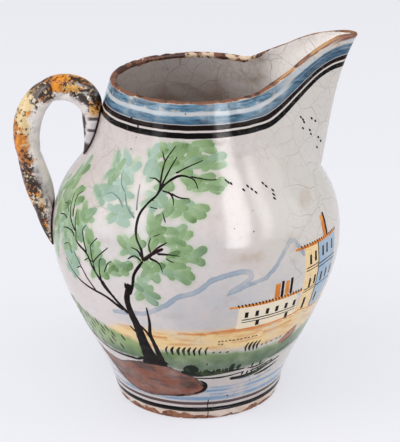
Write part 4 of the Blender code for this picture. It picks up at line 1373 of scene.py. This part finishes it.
def handle_glaze():
    """Cream glaze, sponged on its outer side in ochre and dark brown."""
    n = Nodes("sponged glaze")
    edge = n.wander(1.6, 150.0, 4.0)
    outward, left = n.field("outward"), n.field("left")
    side = outward + edge
    outer = n.step(side, -0.35, 0.1)
    along = n.field("along") + n.wander(16.0, 40.0, 2.0)

    def within(first, second, third):
        return (n.band(along, *first, STRETCH_SOFTNESS) | n.band(along, *second, STRETCH_SOFTNESS)
                | n.band(along, *third, STRETCH_SOFTNESS))

    cream = n.mix(n.patches(0.42, 0.6, 60.0), HANDLE_SAND, HANDLE_CREAM)
    patches = n.step(n.noise(60.0, 4.0, warp=0.5) + within(*OCHRE_STRETCHES) * 0.16, 0.53, 0.58)
    ochre = n.coats(OCHRE, (n.patches(0.40, 0.58, 130.0, 4.0), OCHRE_DEEP),
                    (n.patches(0.52, 0.64, 75.0, top=0.8), OCHRE_PALE))
    thick = within(*DARK_STRETCHES)
    sponge = n.noise(430.0, 5.0, 0.7) + n.noise(66.0) * 0.6 + thick * 0.08
    dark = n.step(sponge, 0.82, 0.88) * n.step(side, -0.65, -0.1)
    low_tail = n.step(n.field("along") + edge * 9.0, *DARK_LOW_TAIL) * n.band(side, 0.1, 0.8, 0.15)
    tail = n.step(left + edge * 5.0, *WHITE_TAIL)
    white = n.mix(n.patches(0.42, 0.62, 90.0), TAIL_WHITE, TAIL_GREY)
    rim = n.step(side, 0.45, 0.75) | n.step(left, *DARK_POINT) | n.step(side, -0.30, -0.55)
    bars = n.band(left + edge, *FIRST_BAR, 0.4) | n.band(left + edge, *SECOND_BAR, 0.5)
    n.colour = n.coats(
        HANDLE_WHITE, (n.patches(0.4, 0.65, 70.0), HANDLE_GREY), (outer, cream), (outer * patches, ochre),
        (outer * thick * n.patches(0.4, 0.6, 85.0, 4.0, top=0.7), HANDLE_RUST), (dark * 0.97, HANDLE_BROWN),
        (low_tail * 0.95, HANDLE_BROWN), (tail, white), (tail * rim * 0.95, HANDLE_BROWN),
        (bars * n.step(outward, -0.5, -0.1, 0.9), HANDLE_BROWN),
        (n.step(n.field("gap") + edge, *CONTACT), HANDLE_BROWN))
    n.bump(n.noise(200.0) + dark * 0.5, 0.2, 0.0005)
    return n.finish(0.15, HANDLE_GLOSS)


# Foot: turned plinth with rounded edges, and chips along the lower one (waves round and phase)
FOOT_COLUMNS = 420
FOOT_ROWS = 26
FOOT_CRACK = 6.5
FOOT_EDGE_ROUND = 0.0012
FOOT_TOP_ROUND = 0.0009
FOOT_TOP_INSET = 0.0006
FOOT_BITES = ((31, 0.3), (53, 1.9), (89, 4.0), (17, 2.2))
FOOT_BITE_FROM = 0.28
FOOT_CHIP_DEPTH = 0.0022
FOOT_CHIP_HEIGHT = 0.0042
FOOT_OVAL = 0.00012
FOOT_UNDER_RINGS = (0.3, 0.6, 0.93)
FOOT_TOP_RINGS = (0.8, 0.4)

# Edges of the foot's glaze, in millimetres of height
FOOT_BARE = (3.3, 2.7)
FOOT_SPOTS = (6.5, 5.0)
FOOT_LINE = (6.6, 7.0)


def jug_foot():
    """Foot as a closed round form, from the middle of its underside to the middle of its top."""
    turns = np.linspace(-math.pi, math.pi, FOOT_COLUMNS, endpoint=False)
    bites = sum(np.sin(waves * turns + phase) for waves, phase in FOOT_BITES) / len(FOOT_BITES)
    rows, chips = [], []
    for share in np.linspace(0, 1, FOOT_ROWS):
        height = FOOT_HEIGHT * share
        edge = max(0.0, 1 - height / FOOT_EDGE_ROUND)
        top = max(0.0, 1 - (FOOT_HEIGHT - height) / FOOT_TOP_ROUND)
        radius = FOOT_BASE_RADIUS + (FOOT_TOP_RADIUS - FOOT_BASE_RADIUS) * share
        radius -= FOOT_EDGE_ROUND * (1 - math.sqrt(1 - edge ** 2)) + FOOT_TOP_INSET * (1 - math.sqrt(1 - top ** 2))
        chip = np.clip(bites - FOOT_BITE_FROM, 0, 1) * smoothstep(FOOT_CHIP_HEIGHT, 0.0, height) * FOOT_CHIP_DEPTH
        wide = radius - chip + FOOT_OVAL * np.sin(3 * turns + 1)
        rows.append(np.stack([wide * np.cos(turns), wide * np.sin(turns), np.full_like(turns, height)], -1))
        chips.append(chip / MM)
    under = [rows[0] * (share, share, 1) for share in FOOT_UNDER_RINGS]
    over = [rows[-1] * (share, share, 1) for share in FOOT_TOP_RINGS]
    chips = [np.ones_like(turns)] * len(under) + chips + [np.zeros_like(turns)] * len(over)
    points = np.vstack(under + rows + over + [[(0, 0, 0), (0, 0, FOOT_HEIGHT)]])
    crack = np.abs(np.radians(paint_place(points)[0] - FOOT_CRACK)) * FOOT_TOP_RADIUS / MM
    add_piece("foot_turned", "foot", points, closed_faces(len(chips), FOOT_COLUMNS), foot_glaze(),
              {"chip": np.append(np.concatenate(chips), (1, 0)), "crack": crack})


def foot_glaze():
    """Cream glaze that stops short of the lower edge, where the brown clay shows."""
    n = Nodes("foot glaze")
    height = n.height()
    bare = n.step(height + n.wander(21.0, 46.0, 4.0), *FOOT_BARE) | n.step(n.field("chip"), 0.05, 0.25)
    bare = bare | n.patches(0.64, 0.68, 160.0) * n.step(height, *FOOT_SPOTS)
    n.colour = n.coats(
        FOOT_CREAM, (n.patches(0.4, 0.64, 80.0, 4.0), FOOT_TAN),
        (bare, n.mix(n.patches(0.4, 0.62, 210.0, 4.0), FOOT_CLAY, FOOT_CLAY_DEEP)),
        (n.step(height + n.wander(0.8, 70.0, 2.0), *FOOT_LINE), LINE_BLACK),
        (n.step(n.field("crack") + n.wander(0.8, 300.0), 0.6, 0.3), LINE_BLACK))
    n.bump(n.noise(300.0, 4.0) * (bare + 0.2), 0.3, 0.0006)
    return n.finish(bare * 0.45 + 0.16)


# Camera: place, and directions of its right side and its top
CAMERA_PLACE = (0.0, -1.19122, 0.59728)
CAMERA_RIGHT = (0.99995866, -0.00496876, -0.00761526)
CAMERA_UP = (0.00891651, 0.37166298, 0.9283249)
CAMERA_LENS = 156.25


def add_camera():
    data = bpy.data.cameras.new("camera")
    data.lens = CAMERA_LENS
    camera = bpy.data.objects.new("camera", data)
    matrix = np.eye(4)
    matrix[:3] = np.column_stack([CAMERA_RIGHT, CAMERA_UP, np.cross(CAMERA_RIGHT, CAMERA_UP), CAMERA_PLACE])
    camera.matrix_world = Matrix(matrix.tolist())
    bpy.context.scene.collection.objects.link(camera)
    bpy.context.scene.camera = camera


# Floor and light
FLOOR_COLOUR = srgb(241, 242, 249)
FLOOR_PLAIN_SHARE = 0.6
FLOOR_HALF = 6.0
WORLD_COLOUR = srgb(252, 250, 248)
WORLD_STRENGTH = 0.64
SHOULDER = (0.03, -0.08, 0.16)
PANE_DISTANCE = 1.3


def add_floor():
    """White ground, lit partly by itself where the camera or a reflection sees it."""
    mesh = bpy.data.meshes.new("floor")
    half = FLOOR_HALF
    mesh.from_pydata([(-half, -half, 0), (half, -half, 0), (half, half, 0), (-half, half, 0)], [], [(0, 1, 2, 3)])
    floor = bpy.data.objects.new("floor", mesh)
    bpy.context.scene.collection.objects.link(floor)
    n = Nodes("floor")
    n.colour = FLOOR_COLOUR
    mesh.materials.append(n.finish(0.9, 0.0))
    path = n.tree.nodes.new("ShaderNodeLightPath")
    seen = Wire(n, path.outputs["Is Camera Ray"]) | Wire(n, path.outputs["Is Glossy Ray"])
    plain = n.node("Emission", 0, {"Color": FLOOR_COLOUR})
    lit = Wire(n, n.shader.outputs[0])
    blend = n.node("MixShader", 0, {0: seen * FLOOR_PLAIN_SHARE, 1: lit, 2: plain})
    n.put(n.tree.nodes["Material Output"].inputs["Surface"], blend)


def add_light(name, place, target, size, power, only_gloss=False, roll=0.0):
    data = bpy.data.lights.new(name, "AREA")
    data.shape = "RECTANGLE"
    data.size, data.size_y = size
    data.energy = power
    lamp = bpy.data.objects.new(name, data)
    lamp.location = place
    aim = (Vector(target) - Vector(place)).to_track_quat("-Z", "Y")
    lamp.rotation_euler = (aim @ Quaternion((0, 0, 1), math.radians(roll))).to_euler()
    lamp.visible_diffuse = not only_gloss
    bpy.context.scene.collection.objects.link(lamp)


def add_pane(name, turn, rise, roll, size, power):
    """Window pane that shows only as a reflection, seen from the shoulder at an angle right of front and up."""
    turn, rise = math.radians(turn), math.radians(rise)
    way = Vector((math.cos(rise) * math.sin(turn), -math.cos(rise) * math.cos(turn), math.sin(rise)))
    add_light(name, Vector(SHOULDER) + PANE_DISTANCE * way, SHOULDER, size, power, True, roll)


def add_world():
    world = bpy.data.worlds.new("world")
    world.use_nodes = True
    back = world.node_tree.nodes["Background"]
    back.inputs["Color"].default_value = (*WORLD_COLOUR, 1.0)
    back.inputs["Strength"].default_value = WORLD_STRENGTH
    bpy.context.scene.world = world


add_camera()
add_floor()
add_world()
add_light("overhead", (-0.1, -1.0, 1.9), (0, 0, 0.05), (1.8, 1.8), 9.0)
add_light("fill", (-1.7, -0.5, 1.0), (0, 0, 0.12), (1.3, 1.3), 15.0)
add_light("fill_right", (1.7, -0.3, 0.9), (0, 0, 0.14), (1.2, 1.2), 9.0)
add_pane("window", 36.5, 33.0, -15.0, (0.42, 1.4), 23.0)
add_pane("window_side", 65.0, 32.0, -22.0, (0.25, 1.0), 4.8)
add_pane("window_left", -52.0, 22.0, 15.0, (0.3, 1.1), 4.5)
bpy.context.scene.view_settings.view_transform = "Standard"
jug_wall()
painted_leaves()
painted_lines()
jug_foot()
SPONGED = handle_glaze()
handle_roll("roll_a_glazed", "handle_roll_a", 1.0, TOP_TAIL_LENGTHS[0], LOW_TAIL_LENGTHS[0], SPONGED)
handle_roll("roll_b_glazed", "handle_roll_b", -1.0, TOP_TAIL_LENGTHS[1], LOW_TAIL_LENGTHS[1], SPONGED)
